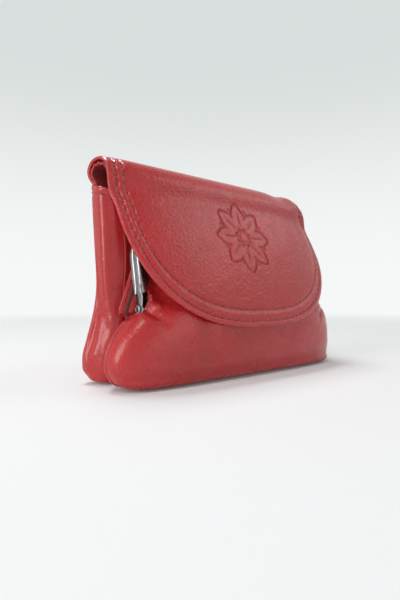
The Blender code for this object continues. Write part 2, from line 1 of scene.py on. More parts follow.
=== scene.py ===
# %% [markdown]
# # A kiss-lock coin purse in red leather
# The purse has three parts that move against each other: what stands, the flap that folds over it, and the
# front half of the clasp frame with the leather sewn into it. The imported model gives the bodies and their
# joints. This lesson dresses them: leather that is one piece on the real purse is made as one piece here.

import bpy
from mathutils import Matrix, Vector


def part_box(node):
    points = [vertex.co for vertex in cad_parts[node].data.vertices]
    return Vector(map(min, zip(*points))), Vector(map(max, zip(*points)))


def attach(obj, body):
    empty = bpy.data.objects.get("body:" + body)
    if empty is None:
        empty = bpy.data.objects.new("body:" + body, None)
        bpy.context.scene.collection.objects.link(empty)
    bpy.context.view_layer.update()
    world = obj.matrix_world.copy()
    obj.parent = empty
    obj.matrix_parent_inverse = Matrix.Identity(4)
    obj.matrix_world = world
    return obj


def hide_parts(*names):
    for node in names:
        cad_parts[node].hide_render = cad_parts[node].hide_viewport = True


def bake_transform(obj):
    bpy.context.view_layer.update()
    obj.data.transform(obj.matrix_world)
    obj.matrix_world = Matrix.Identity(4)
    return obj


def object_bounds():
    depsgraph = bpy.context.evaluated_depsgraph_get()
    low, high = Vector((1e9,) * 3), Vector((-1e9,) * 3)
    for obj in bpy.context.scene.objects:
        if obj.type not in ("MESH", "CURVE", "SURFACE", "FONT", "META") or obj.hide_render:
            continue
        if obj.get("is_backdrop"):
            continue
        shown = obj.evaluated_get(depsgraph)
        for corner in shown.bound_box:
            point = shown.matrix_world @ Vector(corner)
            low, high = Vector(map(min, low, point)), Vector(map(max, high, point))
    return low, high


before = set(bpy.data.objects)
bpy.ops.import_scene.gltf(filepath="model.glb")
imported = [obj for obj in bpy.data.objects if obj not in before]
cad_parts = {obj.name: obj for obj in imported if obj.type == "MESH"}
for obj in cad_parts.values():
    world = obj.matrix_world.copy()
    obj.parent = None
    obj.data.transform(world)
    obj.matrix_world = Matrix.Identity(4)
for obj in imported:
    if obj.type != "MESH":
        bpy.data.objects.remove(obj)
cad_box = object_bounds()

# %% The tools that the lesson uses
import math

import bpy
import numpy as np
from mathutils import Matrix, Vector
from mathutils.kdtree import KDTree

MM = 0.001

# %% [markdown]
# ## Where things are
# Lengths are in metres, and most are written as millimetres times MM. Soft surfaces are given by how far
# forward they lie of the fold at the top. Steel pieces are given in the plane of the clasp frame, which leans
# back from its hinge.

# %% Places on the purse and in the leaning frame
FOLD_Y, FOLD_HALF_WIDTH = 10.39 * MM, 61.1 * MM
HINGE_FORWARD, HINGE_Z = 16 * MM, 29.7 * MM
HINGE_Y = FOLD_Y - HINGE_FORWARD
FRAME_HALF_WIDTH, FRAME_HEIGHT, FRAME_CORNER = 54.6 * MM, 34 * MM, 14 * MM
FRAME_LEAN = math.asin(6.37 / 34)
LEATHER = 1.2 * MM


def at(x, forward, z):
    """A point given by how far forward of the fold it lies."""
    return (x, FOLD_Y - forward, z)


def on_frame(x, out, up):
    """A point given in the leaning plane of the frame."""
    c, s = math.cos(FRAME_LEAN), math.sin(FRAME_LEAN)
    return (x, HINGE_Y - out * c + up * s, HINGE_Z + out * s + up * c)


def limited(value):
    """The value, kept between 0 and 1."""
    return np.clip(value, 0, 1)


def bell(distance, width):
    """A smooth bump: 1 on its line, and almost 0 at twice its width away."""
    return np.exp(-((distance / width) ** 2))


print("hinge axis at y %.2f mm, z %.2f mm" % (HINGE_Y / MM, HINGE_Z / MM))

# %% [markdown]
# ## Selecting and editing
# Blender's operators work on what is selected. These helpers select one piece, or some of its faces or edges,
# and leave it ready for the next step.

# %% Clear the selection and switch to edit mode and back
def fresh():
    """Nothing selected, in object mode."""
    if bpy.context.mode != "OBJECT":
        bpy.ops.object.mode_set(mode="OBJECT")
    bpy.ops.object.select_all(action="DESELECT")
    bpy.context.tool_settings.mesh_select_mode = (True, False, False)


def pick(piece):
    """Only this piece selected and active."""
    fresh()
    piece.select_set(True)
    bpy.context.view_layer.objects.active = piece
    return piece


def just_added(name):
    """The piece that the last operator added, with its name."""
    piece = bpy.context.object
    piece.name = piece.data.name = name
    return piece


def edit_all(piece):
    """Edit mode, with all of the piece selected."""
    pick(piece)
    bpy.ops.object.mode_set(mode="EDIT")
    bpy.ops.mesh.select_all(action="SELECT")


def choose(piece, kind, test):
    """Edit mode, with only the faces or edges that pass a test selected."""
    pick(piece)
    bpy.ops.object.mode_set(mode="EDIT")
    bpy.ops.mesh.select_mode(type=kind)
    bpy.ops.mesh.select_all(action="DESELECT")
    bpy.ops.object.mode_set(mode="OBJECT")
    for part in piece.data.polygons if kind == "FACE" else piece.data.edges:
        part.select = test(part)
    bpy.ops.object.mode_set(mode="EDIT")


def settle(piece):
    """The piece's place, turn and size go into its mesh."""
    pick(piece)
    bpy.ops.object.transform_apply(location=True, rotation=True, scale=True)
    return piece


def apply_modifiers(piece):
    """Every modifier of the piece becomes part of its mesh."""
    pick(piece)
    for step in list(piece.modifiers):
        bpy.ops.object.modifier_apply(modifier=step.name)
    return piece


# %% [markdown]
# ## The camera and the light
# The photograph looks at the purse's left front corner from the height of its lower third. Five soft lamps light
# it under an even sky: one above and behind it, weak ones at the right, in front and at the left, and a tall
# window at the left, whose mirror image makes the long streaks on the leather there.

# %% Camera, lamps and world
CAMERA_PLACE, CAMERA_LOOKS = (-0.14057, -0.1430, 0.03482), Vector((0.6455, 0.7637, -0.0094))
PURSE_MIDDLE = Vector((0, 0, 0.045))
scene = bpy.context.scene
scene.view_settings.view_transform = "Standard"

fresh()
bpy.ops.object.camera_add(location=CAMERA_PLACE)
camera = bpy.context.object
camera.rotation_euler = CAMERA_LOOKS.to_track_quat("-Z", "Y").to_euler()
camera.data.sensor_width = 36
camera.data.lens = 25.8
camera.data.clip_start = 0.01
scene.camera = camera


def soft_lamp(name, place, width, height, power):
    """A lamp with a soft, oblong face that looks at the purse."""
    bpy.ops.object.light_add(type="AREA", location=place)
    lamp = bpy.context.object
    lamp.name = name
    lamp.data.shape, lamp.data.size, lamp.data.size_y = "RECTANGLE", width, height
    lamp.data.energy = power
    lamp.rotation_euler = (PURSE_MIDDLE - Vector(place)).to_track_quat("-Z", "Y").to_euler()


soft_lamp("top_lamp", (-0.03, 0.27, 0.80), 0.28, 0.28, 3.7)
soft_lamp("right_lamp", (0.60, -0.36, 0.72), 0.50, 0.50, 1.1)
soft_lamp("front_lamp", (0.25, -0.95, 0.22), 0.50, 0.50, 0.6)
soft_lamp("left_lamp", (-0.42, -0.20, 0.74), 0.14, 0.14, 1.1)
soft_lamp("window_lamp", (-0.78, -0.06, 0.30), 0.34, 0.55, 2.8)
scene.world = scene.world or bpy.data.worlds.new("sky")
scene.world.use_nodes = True
sky = scene.world.node_tree.nodes["Background"]
sky.inputs["Color"].default_value = (0.95, 0.97, 1.0, 1)
sky.inputs["Strength"].default_value = 0.33
print("camera at", [round(v, 3) for v in camera.location])

# %% [markdown]
# ## Shader maths as Python
# A finish is a tree of nodes. A small class wraps each number that the tree works out, so that an expression
# such as 1 - mask * 0.5 adds its own Math nodes, and one method adds every other node.

# %% The wrapper for shader numbers
class Number:
    """A number that a finish works out at each point of a surface."""

    def __init__(self, finish, socket):
        self.finish, self.socket = finish, socket

    def maths(self, operation, first, second=0.0):
        return self.finish.node("ShaderNodeMath", {0: first, 1: second}, operation=operation)

    def __add__(self, other):
        return self.maths("ADD", self, other)

    def __sub__(self, other):
        return self.maths("SUBTRACT", self, other)

    def __rsub__(self, other):
        return self.maths("SUBTRACT", other, self)

    def __mul__(self, other):
        return self.maths("MULTIPLY", self, other)

    __radd__, __rmul__ = __add__, __mul__

    def of(self, operation):
        """A function of the number, such as its sine."""
        return self.maths(operation, self)

    def ramp(self, low, high, start=0.0, end=1.0):
        """Start below low, end above high, and a soft step between."""
        values = {"Value": self, "From Min": low, "From Max": high, "To Min": start, "To Max": end}
        return self.finish.node("ShaderNodeMapRange", values, interpolation_type="SMOOTHSTEP")


class Finish:
    """A material and the nodes that make it."""

    def __init__(self, name, roughness, metallic=0.0):
        self.material = bpy.data.materials.new(name)
        self.material.use_nodes = True
        self.tree = self.material.node_tree
        self.shader = self.tree.nodes["Principled BSDF"]
        self.set("Roughness", roughness)
        self.set("Metallic", metallic)

    def set(self, socket, value):
        """A plain value, or a worked out one, for one of the shader's sockets."""
        self.feed(self.shader.inputs[socket], value)

    def feed(self, socket, value):
        if isinstance(value, Number):
            self.tree.links.new(value.socket, socket)
        else:
            socket.default_value = (*value, 1) if socket.type == "RGBA" else value

    def node(self, kind, values=None, output=0, **settings):
        """Add a node: its settings first, then the values or links of its sockets."""
        made = self.tree.nodes.new(kind)
        for name, value in settings.items():
            setattr(made, name, value)
        for name, value in (values or {}).items():
            self.feed(made.inputs[name], value)
        return Number(self, made.outputs[output])

    def attribute(self, name, output="Fac"):
        """A number or place that the piece's own mesh carries."""
        return self.node("ShaderNodeAttribute", output=output, attribute_name=name)

    def rest_place(self):
        """Where a point of the piece lies before it bends."""
        return self.attribute("rest_place", "Vector")

    def noise(self, scale, detail=3.0, roughness=0.5):
        """Cloudy variation from 0 to 1."""
        values = {"Vector": self.rest_place(), "Scale": scale, "Detail": detail, "Roughness": roughness}
        return self.node("ShaderNodeTexNoise", values)

    def cells(self, scale):
        """Distance to the nearest of many scattered points."""
        return self.node("ShaderNodeTexVoronoi", {"Vector": self.rest_place(), "Scale": scale})

    def mix(self, factor, first, second):
        """One colour turning into another."""
        return self.node("ShaderNodeMix", {0: factor, 6: first, 7: second}, 2, data_type="RGBA")

    def bump(self, height, strength, distance, under=None):
        """Relief from a height, on top of the relief under it."""
        values = {"Height": height, "Strength": strength, "Distance": distance}
        if under is not None:
            values["Normal"] = under
        return self.node("ShaderNodeBump", values)

    def done(self, tone, relief):
        """The material, once its colour and its relief are in."""
        self.set("Base Color", tone)
        self.set("Normal", relief)
        return self.material


# %% [markdown]
# ## The paper studio
# The purse stands in a round room of white paper: a floor that curves up into a wall on every side. It is a disc
# whose edge is extruded up, with a wide bevel along the corner. The camera, and what mirrors in metal, see a
# share of plain white on top of the lit paper, so the room looks as bright as in the photograph while the purse
# keeps its soft shadow. The wall is a little greyer towards its top.

# %% Paper finish
def paper():
    """Matt white paper that looks a little brighter than it is lit."""
    made = Finish("white_paper", 0.9)
    made.set("Base Color", (0.83, 0.84, 0.84))
    made.set("Specular IOR Level", 0.1)
    place = made.node("ShaderNodeTexCoord", output=3)
    radius = made.node("ShaderNodeVectorMath", {0: place}, 1, operation="LENGTH")
    height = made.node("ShaderNodeSeparateXYZ", {0: place}, 2)
    white = made.mix(height.ramp(0.05, 3.3), (0.95, 0.97, 0.965), (0.72, 0.76, 0.755))
    glow = made.node("ShaderNodeEmission", {"Color": white})
    kinds = ("Is Camera Ray", "Is Glossy Ray", "Is Transmission Ray")
    from_camera, mirrored, through_clear = (made.node("ShaderNodeLightPath", output=kind) for kind in kinds)
    seen = from_camera + mirrored + through_clear
    share = seen.maths("MINIMUM", seen, 1.0) * radius.ramp(0.12, 0.8, 0.08, 0.95)
    lit = Number(made, made.shader.outputs[0])
    surface = made.node("ShaderNodeMixShader", {0: share, 1: lit, 2: glow})
    made.feed(made.tree.nodes["Material Output"].inputs["Surface"], surface)
    return made.material


# %% Floor and wall
ROOM_RADIUS, ROOM_HEIGHT = 6, 6
fresh()
bpy.ops.mesh.primitive_circle_add(vertices=96, radius=ROOM_RADIUS, fill_type="NGON")
room = just_added("paper_room")
choose(room, "EDGE", lambda edge: True)
bpy.ops.mesh.extrude_region_move(TRANSFORM_OT_translate={"value": (0, 0, ROOM_HEIGHT)})
choose(room, "FACE", lambda face: face.center.z > 0.9 * ROOM_HEIGHT and len(face.vertices) > 4)
bpy.ops.mesh.delete(type="FACE")
corner = room.modifiers.new("corner", "BEVEL")
corner.width, corner.segments, corner.limit_method = 4.0, 24, "ANGLE"
corner.angle_limit = math.radians(60)
apply_modifiers(room)
bpy.ops.object.shade_smooth()
room.data.materials.append(paper())
settle(room)
room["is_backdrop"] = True
print("room faces:", len(room.data.polygons), "height", max(v.co.z for v in room.data.vertices))

# %% [markdown]
# ## Skins through sections
# Leather on this purse is bent smoothly from one outline to the next. A skin is therefore drawn through a few
# sections, as a hull is drawn through its frames, and a grid is laid on it. Thickness goes inwards from the
# outer face.

# %% A smooth skin through sections
def curve_between(start, end, slope_start, slope_end, span, t):
    """The place a share t along the smooth curve from start to end, given its slopes there."""
    return (
        (2 * t**3 - 3 * t**2 + 1) * start
        + (t**3 - 2 * t**2 + t) * span * slope_start
        + (3 * t**2 - 2 * t**3) * end
        + (t**3 - t**2) * span * slope_end
    )


def loft(sections, rows):
    """Points of a skin drawn smoothly through sections that all have the same number of points."""
    lines = np.array(sections, float)
    steps = np.linalg.norm(np.diff(lines, axis=0), axis=2).mean(axis=1)
    knots = np.concatenate([[0.0], np.cumsum(np.maximum(steps, 1e-6))])
    slopes = np.gradient(lines, knots, axis=0)
    places = np.linspace(0, knots[-1], rows)
    low = np.clip(np.searchsorted(knots, places, side="right") - 1, 0, len(knots) - 2)
    span = (knots[low + 1] - knots[low])[:, None, None]
    t = (places - knots[low])[:, None, None] / span
    skin = curve_between(lines[low], lines[low + 1], slopes[low], slopes[low + 1], span, t)
    skin[..., 2] = np.maximum(skin[..., 2], 0)
    return skin


def facing_of(points):
    """The outward direction at each point of a skin."""
    cross = np.cross(np.gradient(points, axis=1), np.gradient(points, axis=0))
    return cross / np.maximum(np.linalg.norm(cross, axis=2, keepdims=True), 1e-15)


def raised(points, height, facing=None):
    """The skin moved outwards by a height at each point, or by one height everywhere."""
    height = np.broadcast_to(np.asarray(height, float), points.shape[:2])
    moved = points + (facing_of(points) if facing is None else facing) * height[..., None]
    moved[..., 2] = np.maximum(moved[..., 2], 0)
    return moved


# %% Folds and creases in a skin
def fold_along(points, path, width, height):
    """The height of a soft ridge, or a crease where it is negative, along places. It fades at its ends."""
    path = [np.array(place, float) for place in path]
    nearest, fade = np.full(points.shape[:2], 1e9), np.ones(points.shape[:2])
    for i, (start, end) in enumerate(zip(path, path[1:])):
        run = end - start
        share = ((points - start) @ run) / (run @ run)
        near = start + limited(share)[..., None] * run
        gap = np.linalg.norm(points - near, axis=2)
        ends = np.ones_like(gap)
        if i == 0:
            ends = ends * limited(share / 0.6)
        if i == len(path) - 2:
            ends = ends * limited((1 - share) / 0.6)
        fade = np.where(gap < nearest, ends, fade)
        nearest = np.minimum(nearest, gap)
    return height * bell(nearest, width) * fade * fade * (3 - 2 * fade)


def all_folds(points, folds):
    """Folds together, each given by a width and a height in millimetres and its places."""
    return sum(fold_along(points, path, width * MM, height * MM) for width, height, path in folds)


# %% A grid laid on the skin
def vertex_places(piece):
    """The vertices of a piece as an array."""
    flat = np.zeros(len(piece.data.vertices) * 3)
    piece.data.vertices.foreach_get("co", flat)
    return flat.reshape(-1, 3)


def lay(name, points):
    """A grid primitive whose vertices are laid on a skin's points."""
    rows, columns = points.shape[:2]
    fresh()
    bpy.ops.mesh.primitive_grid_add(x_subdivisions=columns - 1, y_subdivisions=rows - 1, size=2)
    piece = just_added(name)
    across, along_skin, _ = vertex_places(piece).T
    column = np.rint((across + 1) / 2 * (columns - 1)).astype(int)
    row = np.rint((along_skin + 1) / 2 * (rows - 1)).astype(int)
    piece.data.vertices.foreach_set("co", points[row, column].ravel())
    return piece


SKIN_GAP, TUBE_GAP, POLE_GAP = 0.000002, 0.000005, 0.000012


def mend(piece, gap, close=True):
    """Merge what lies within a gap. A closed shape has its holes filled and its faces turned outwards."""
    edit_all(piece)
    bpy.ops.mesh.remove_doubles(threshold=gap)
    if close:
        bpy.ops.mesh.fill_holes(sides=0)
        bpy.ops.mesh.normals_make_consistent(inside=False)
    bpy.ops.object.mode_set(mode="OBJECT")


def thicken(piece, thickness):
    """A wall inwards from the outer face."""
    mend(piece, SKIN_GAP, close=False)
    wall = piece.modifiers.new("wall", "SOLIDIFY")
    wall.thickness, wall.offset, wall.use_even_offset = thickness, -1, False
    apply_modifiers(piece)
    bpy.ops.object.shade_smooth()
    return piece


# %% Remember where each point was cut, and give the finish
def remember(piece):
    """The mesh carries its places at rest, so that grain stays in the leather when it bends."""
    kept = piece.data.attributes.new("rest_place", "FLOAT_VECTOR", "POINT")
    kept.data.foreach_set("vector", vertex_places(piece).ravel().astype(np.float32))
    return piece


def finish_piece(piece, finish, *nodes):
    """Give the piece its material, and hide the solids of the imported model that it stands for."""
    material, slot_name = finish
    piece.data.materials.clear()
    piece.data.materials.append(material)
    if nodes:
        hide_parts(*nodes)
    print(piece.name, len(piece.data.polygons), "faces")
    return piece


# %% [markdown]
# ## Leather
# The outside is smooth calf leather: a red that varies a little, a very fine pebble, faint wrinkles, and a soft
# shine. Along its edges the colour is rubbed lighter. Where a seam runs, the leather is drawn down between the
# needle holes.

# %% Outer leather
SEAM_INSETS, STITCH_PITCH = (3.4 * MM, 6.5 * MM), 3.8 * MM


def calf_leather(name, grain, with_seam=False):
    """Red calf leather; the grain is finer where the leather is thin and stretched."""
    made = Finish(name, 0.36)
    cloud, patch, rim = made.noise(38.0), made.noise(150.0, 4.0, 0.6), made.attribute("rim")
    pebble, coarse = made.cells(900.0), made.cells(560.0)
    fine, wrinkle = made.noise(2400.0, 2.0), made.noise(420.0, 5.0, 0.65)
    tone = made.mix(cloud.ramp(0.36, 0.66), (0.46, 0.016, 0.017), (0.52, 0.021, 0.023))
    tone = made.mix(patch.ramp(0.45, 0.75) * 0.4, tone, (0.38, 0.011, 0.012))
    tone = made.mix((1 - pebble.ramp(0.08, 0.5)) * 0.45, tone, (0.26, 0.007, 0.009))
    tone = made.mix(fine.ramp(0.5, 0.7) * 0.3, tone, (0.60, 0.035, 0.037))
    tone = made.mix(rim * patch.ramp(0.35, 0.6, 0.25, 0.7), tone, (0.52, 0.045, 0.045))
    height = pebble * 0.9 + coarse * 0.5 + fine * 0.35 + wrinkle * 0.9
    relief = made.bump(height, grain, 0.0003)
    if with_seam:
        # Painted shade: the rosette's pressed grooves are coloured darker.
        tone = made.mix(made.attribute("pressed").ramp(0.25, 1.0, 0.0, 0.45), tone, (0.20, 0.006, 0.009))
        wave = (made.attribute("seam_run") * (2 * math.pi / STITCH_PITCH)).of("COSINE")
        pucker = 0.0
        for middle in SEAM_INSETS:
            away = (made.attribute("seam_inset") - middle).of("ABSOLUTE")
            hole = wave.ramp(0.60, 0.99) * away.ramp(0.25 * MM, 0.50 * MM, 1.0, 0.0)
            tone = made.mix(hole * 0.85, tone, (0.10, 0.003, 0.003))
            pucker = away.ramp(0.0, 1.2 * MM, 1.0, 0.0) * (0.65 + 0.35 * wave) + pucker
        relief = made.bump(1 - pucker, 0.6, 0.0006, relief)
    made.set("Roughness", 0.17 + 0.16 * grain + 0.10 * patch.ramp(0.35, 0.7) - 0.04 * rim)
    made.set("Coat Weight", 0.12)
    made.set("Coat Roughness", 0.12)
    return made.done(tone, relief)


# %% Thin lining leather
def lining_leather():
    """A thinner, matt red leather."""
    made = Finish("lining_leather", 0.6)
    cloud, pores, fluff = made.noise(60.0, 4.0), made.cells(1500.0), made.noise(900.0, 5.0, 0.7)
    tone = made.mix(cloud.ramp(0.35, 0.7), (0.36, 0.040, 0.038), (0.41, 0.052, 0.048))
    tone = made.mix(fluff.ramp(0.5, 0.8) * 0.2, tone, (0.28, 0.025, 0.026))
    made.set("Roughness", 0.55 + 0.15 * fluff)
    return made.done(tone, made.bump(pores + fluff, 0.3, 0.0002))


# %% Woven cloth of the coin pouch
THREAD_PITCH = 0.55 * MM


def lining_cloth():
    """Plain woven cotton, dark red."""
    made = Finish("lining_cloth", 0.85)
    weave = 1.0
    for axis in (0, 2):
        along_axis = made.node("ShaderNodeSeparateXYZ", {0: made.rest_place()}, axis)
        weave = (along_axis * (2 * math.pi / THREAD_PITCH)).of("SINE") * weave
    slub = made.noise(700.0)
    tone = made.mix(weave.ramp(-1.0, 1.0), (0.13, 0.014, 0.018), (0.24, 0.035, 0.04))
    tone = made.mix(slub.ramp(0.4, 0.8) * 0.4, tone, (0.10, 0.01, 0.013))
    made.set("Sheen Weight", 0.3)
    return made.done(tone, made.bump(weave + slub, 0.35, 0.0001))


# %% Metals
def nickel(name, tint, roughness):
    """Nickel plate with fine marks from handling."""
    made = Finish(name, roughness, 1.0)
    smudge, marks = made.noise(260.0, 4.0, 0.6), made.noise(1800.0, 2.0)
    tone = made.mix(smudge.ramp(0.4, 0.75) * 0.6, tint, tuple(0.72 * part for part in tint))
    made.set("Roughness", roughness + 0.16 * smudge.ramp(0.4, 0.8))
    return made.done(tone, made.bump(marks, 0.08, 0.0001))


# %% Paper cord and thread
def fibre(name, roughness, noise, dark, pale, relief):
    """Twisted fibres, mottled between two colours."""
    made = Finish(name, roughness)
    strand = made.noise(*noise)
    return made.done(made.mix(strand.ramp(0.35, 0.7), dark, pale), made.bump(strand, relief, 0.0001))


# %% Every finish, with its slot
SIDE_LEATHER = calf_leather("calf_leather_thin", 0.16), "outer_leather"
POUCH_LEATHER = calf_leather("calf_leather_pouch", 0.34), "outer_leather"
SEAMED_LEATHER = calf_leather("calf_leather_seamed", 0.48, with_seam=True), "outer_leather"
LINING_FINISH = lining_leather(), "lining_leather"
CLOTH_FINISH = lining_cloth(), "pouch_cloth"
FRAME_FINISH = nickel("frame_nickel", (0.33, 0.335, 0.335), 0.22), "frame_metal"
SNAP_FINISH = nickel("snap_nickel", (0.46, 0.45, 0.43), 0.3), "snap_metal"
cord_paper = fibre("twisted_paper", 0.9, (1500.0, 4.0), (0.42, 0.31, 0.19), (0.62, 0.5, 0.34), 0.4)
thread = fibre("sewing_thread", 0.65, (3500.0, 2.0), (0.26, 0.012, 0.015), (0.40, 0.024, 0.026), 0.3)
CORD_FINISH, THREAD_FINISH = (cord_paper, "paper_cord"), (thread, "outer_leather")
print("finishes:", len(bpy.data.materials))

# %% [markdown]
# ## The rear pocket's outline
# The pocket is a tall bag with a waist and a fat foot. Its outline at a height is a rounded oblong, given by
# its half width and by how far it reaches forward and back of the fold.

# %% Smooth tables and the pocket's outline
def through(table, place):
    """Values at a place, on smooth curves through a table's rows."""
    rows = np.array(table, float)
    slopes = np.gradient(rows[:, 1:], rows[:, 0], axis=0)
    i = int(np.clip(np.searchsorted(rows[:, 0], place, side="right") - 1, 0, len(rows) - 2))
    span = rows[i + 1, 0] - rows[i, 0]
    t = limited((place - rows[i, 0]) / span)
    return curve_between(rows[i, 1:], rows[i + 1, 1:], slopes[i], slopes[i + 1], span, t)


POCKET_STATIONS = (
    # height, back middle; half width and forward of the back seam, the bulge, the ridge, the front bulge and
    # the front seam; front middle
    (0.0, -7.7, 56.0, -5.0, 57.5, -4.0, 58.0, -2.0, 57.0, 0.5, 54.0, 2.3, 2.5),
    (1.0, -9.3, 60.3, -7.0, 61.8, -5.4, 62.2, -2.5, 60.4, 1.5, 55.5, 3.7, 3.9),
    (3.5, -10.4, 63.2, -8.6, 64.7, -7.0, 64.4, -3.2, 61.8, 1.7, 56.6, 4.8, 5.1),
    (9.0, -11.0, 64.4, -9.3, 66.0, -7.6, 65.0, -3.4, 62.2, 1.8, 57.2, 5.0, 5.5),
    (17.0, -10.3, 63.2, -8.6, 64.6, -6.9, 62.8, -2.9, 60.6, 1.6, 56.6, 4.8, 5.3),
    (25.0, -8.8, 61.5, -7.5, 62.8, -5.8, 60.8, -1.9, 59.0, 1.7, 55.8, 4.5, 4.8),
    (37.0, -7.2, 60.1, -6.4, 61.3, -4.8, 60.4, -0.4, 57.7, 2.7, 54.4, 4.3, 4.4),
    (53.0, -7.3, 60.6, -6.6, 61.8, -4.8, 61.1, 0.0, 57.9, 3.2, 54.0, 4.8, 4.9),
    (66.0, -7.6, 61.3, -7.0, 62.5, -4.9, 61.9, -0.2, 58.9, 3.4, 55.6, 5.1, 5.3),
    (75.5, -7.9, 61.6, -7.1, 62.9, -4.9, 62.4, -0.4, 59.7, 3.4, 57.2, 5.3, 5.5),
)
GUSSET_SHARES = (-1.0, -0.62, -0.1, 0.45, 1.0)


def pocket_face(share, z, behind):
    """A point of the pocket's back or of its front, from -1 at one side seam to 1 at the other."""
    row = through(POCKET_STATIONS, z / MM)
    middle, half_width, seam = (row[0], row[1], row[2]) if behind else (row[11], row[9], row[10])
    return at(half_width * share * MM, (middle + (seam - middle) * abs(share) ** 5) * MM, z)


def pocket_side(share, z, side):
    """A point of a gusset, from -1 at the back seam to 1 at the front seam."""
    row = through(POCKET_STATIONS, z / MM)
    across = [(mark, row[1 + 2 * i], row[2 + 2 * i]) for i, mark in enumerate(GUSSET_SHARES)]
    x, forward = through(across, share)
    return at(side * x * MM, forward * MM, z)


FOOT_MIDDLE = -2.6 * MM
WALL_HEIGHTS = [0, 0.7, 1.6, 3.2, 5.2, 8, 11.5, 16, 21, 26, 31, 37, 44, 52, 60, 68, 75.5]


def wall_sections(shares, behind):
    """The pocket's back or front, from the middle of the foot up to the top."""
    half = through(POCKET_STATIONS, 0.0)[1 if behind else 9] * MM
    foot = [at(half * 0.97 * s, FOOT_MIDDLE, 0) for s in shares]
    return [foot] + [[pocket_face(s, z * MM, behind) for s in shares] for z in WALL_HEIGHTS]


print("pocket at its foot: %.1f mm wide" % (2 * through(POCKET_STATIONS, 9.0)[3]))

# %% [markdown]
# ## The back, the fold and the flap, in one piece of leather
# The real purse has one long piece of leather here: it starts under the pocket, climbs the back, rolls over the
# top and hangs down in front as the flap. It is lofted in that order. The flap's outline is a rounded tongue,
# and the flap leans forward as it falls.

# %% The flap's shape
FLAP_START_Z, FLAP_DROP, FLAP_BULGE, FLAP_SLOPE = 80 * MM, 58 * MM, 4.5 * MM, 0.374
WIDTH_POWER, HEIGHT_POWER = 0.735, 0.755
HALFWAY_Z, HALFWAY_FORWARD, FLAP_CURL = 50 * MM, 22.1 * MM, 0.9 * MM
DIP_X, DIP_WIDTH, DIP_DEPTH = 40 * MM, 7 * MM, 1.1 * MM


def side_bulge(x):
    """How far the flap's middle stands forward of its side edges."""
    return FLAP_BULGE * (1 - min(1.0, abs(x / FOLD_HALF_WIDTH)) ** 4)


def flap_forward(x, z):
    """How far forward the flap's outer face hangs."""
    fall = HALFWAY_Z - z
    line = HALFWAY_FORWARD + FLAP_SLOPE * fall - FLAP_CURL * (fall / (30 * MM)) ** 2
    return line - FLAP_BULGE + side_bulge(x)


def droop(x):
    """How much lower the fold hangs at x: a dip and a slack corner on the right, less on the left."""
    slack = max(0.0, (x - 47 * MM) / (11.6 * MM)) ** 2 * 5.0 * MM
    left = max(0.0, (-x - 50 * MM) / (11 * MM)) ** 2 * 0.4 * MM
    return DIP_DEPTH * bell(x - DIP_X, DIP_WIDTH) + slack + left


def tongue(turn):
    """The flap's outline at an angle round it: its half width, and the height there."""
    height = FLAP_START_Z - FLAP_DROP * math.sin(turn) ** HEIGHT_POWER
    return FOLD_HALF_WIDTH * math.cos(turn) ** WIDTH_POWER, height


# %% Sections of the long piece
EVEN = np.linspace(1, -1, 151)
SHARES = 0.55 * EVEN + 0.45 * np.sin(EVEN * math.pi / 2)
FOLD_STATIONS = (
    # forward, height, half width on the left and on the right
    (-7.0, 79.2, 61.8, 61.5),
    (-8.0, 81.6, 62.8, 61.5),
    (-8.3, 84.4, 63.5, 61.0),
    (-7.9, 86.9, 63.4, 60.3),
    (-6.4, 89.0, 63.1, 59.6),
    (-3.6, 90.0, 62.9, 59.0),
    (0.2, 89.8, 62.8, 58.6),
    (3.4, 88.5, 62.7, 58.4),
    (5.8, 86.2, 62.6, 58.4),
    (7.0, 83.0, 62.5, 58.5),
)
FLAP_TURNS = (2, 6, 12, 19, 27, 35, 43, 50, 56, 61, 65.5, 69, 72)


def fold_section(forward, z, left, right):
    """A line across the fold."""
    row = []
    for s in SHARES:
        x = (right if s > 0 else left) * MM * s
        swell = ((90 - z) / 10) ** 1.3 if forward > -3.6 else 0
        slack = droop(x) * (1.0 if forward > 0 else limited((z - 77) / 12))
        pinch = -0.8 * MM * (1 - abs(s) ** 6) if z < 80 else 0
        row.append(at(x, forward * MM + side_bulge(x) * swell + pinch, z * MM - slack))
    return row


def fading(fall, reach):
    """1 where the flap starts, and 0 from a distance below."""
    return max(0.0, 1 - fall / reach) ** 1.5


def flap_x(s, half, fall):
    """Across the flap: its left edge flares near the fold; its right is drawn in there and wider below."""
    if s < 0:
        return s * (half + 1.4 * MM * fading(fall, 12 * MM))
    wider = 2.2 * MM * math.sin(math.pi * min(1.0, fall / (56 * MM)))
    return s * (half - 2.6 * MM * fading(fall, 18 * MM) + wider)


def tongue_edge(x):
    """The height of the flap's outline at x."""
    return tongue(math.acos(min(1.0, abs(x) / FOLD_HALF_WIDTH) ** (1 / WIDTH_POWER)))[1]


def flap_section(turn):
    """Across the flap at an angle round its outline. Lines near the tip curve, and the last is the outline."""
    half, level = tongue(turn)
    curved = max(0.0, (math.degrees(turn) - 25) / 47) ** 3
    fall = FLAP_START_Z - level
    row = []
    for s in SHARES:
        x = flap_x(s, half, fall)
        z = (1 - curved) * level + curved * tongue_edge(s * half)
        row.append(at(x, flap_forward(x, z), z - droop(x) * fading(fall, 45 * MM)))
    return row


def back_and_flap_sections():
    """From the middle of the foot, up the back, over the fold and down to the flap's tip."""
    folded = [fold_section(*station) for station in FOLD_STATIONS]
    return wall_sections(SHARES, True) + folded + [flap_section(turn) for turn in np.radians(FLAP_TURNS)]


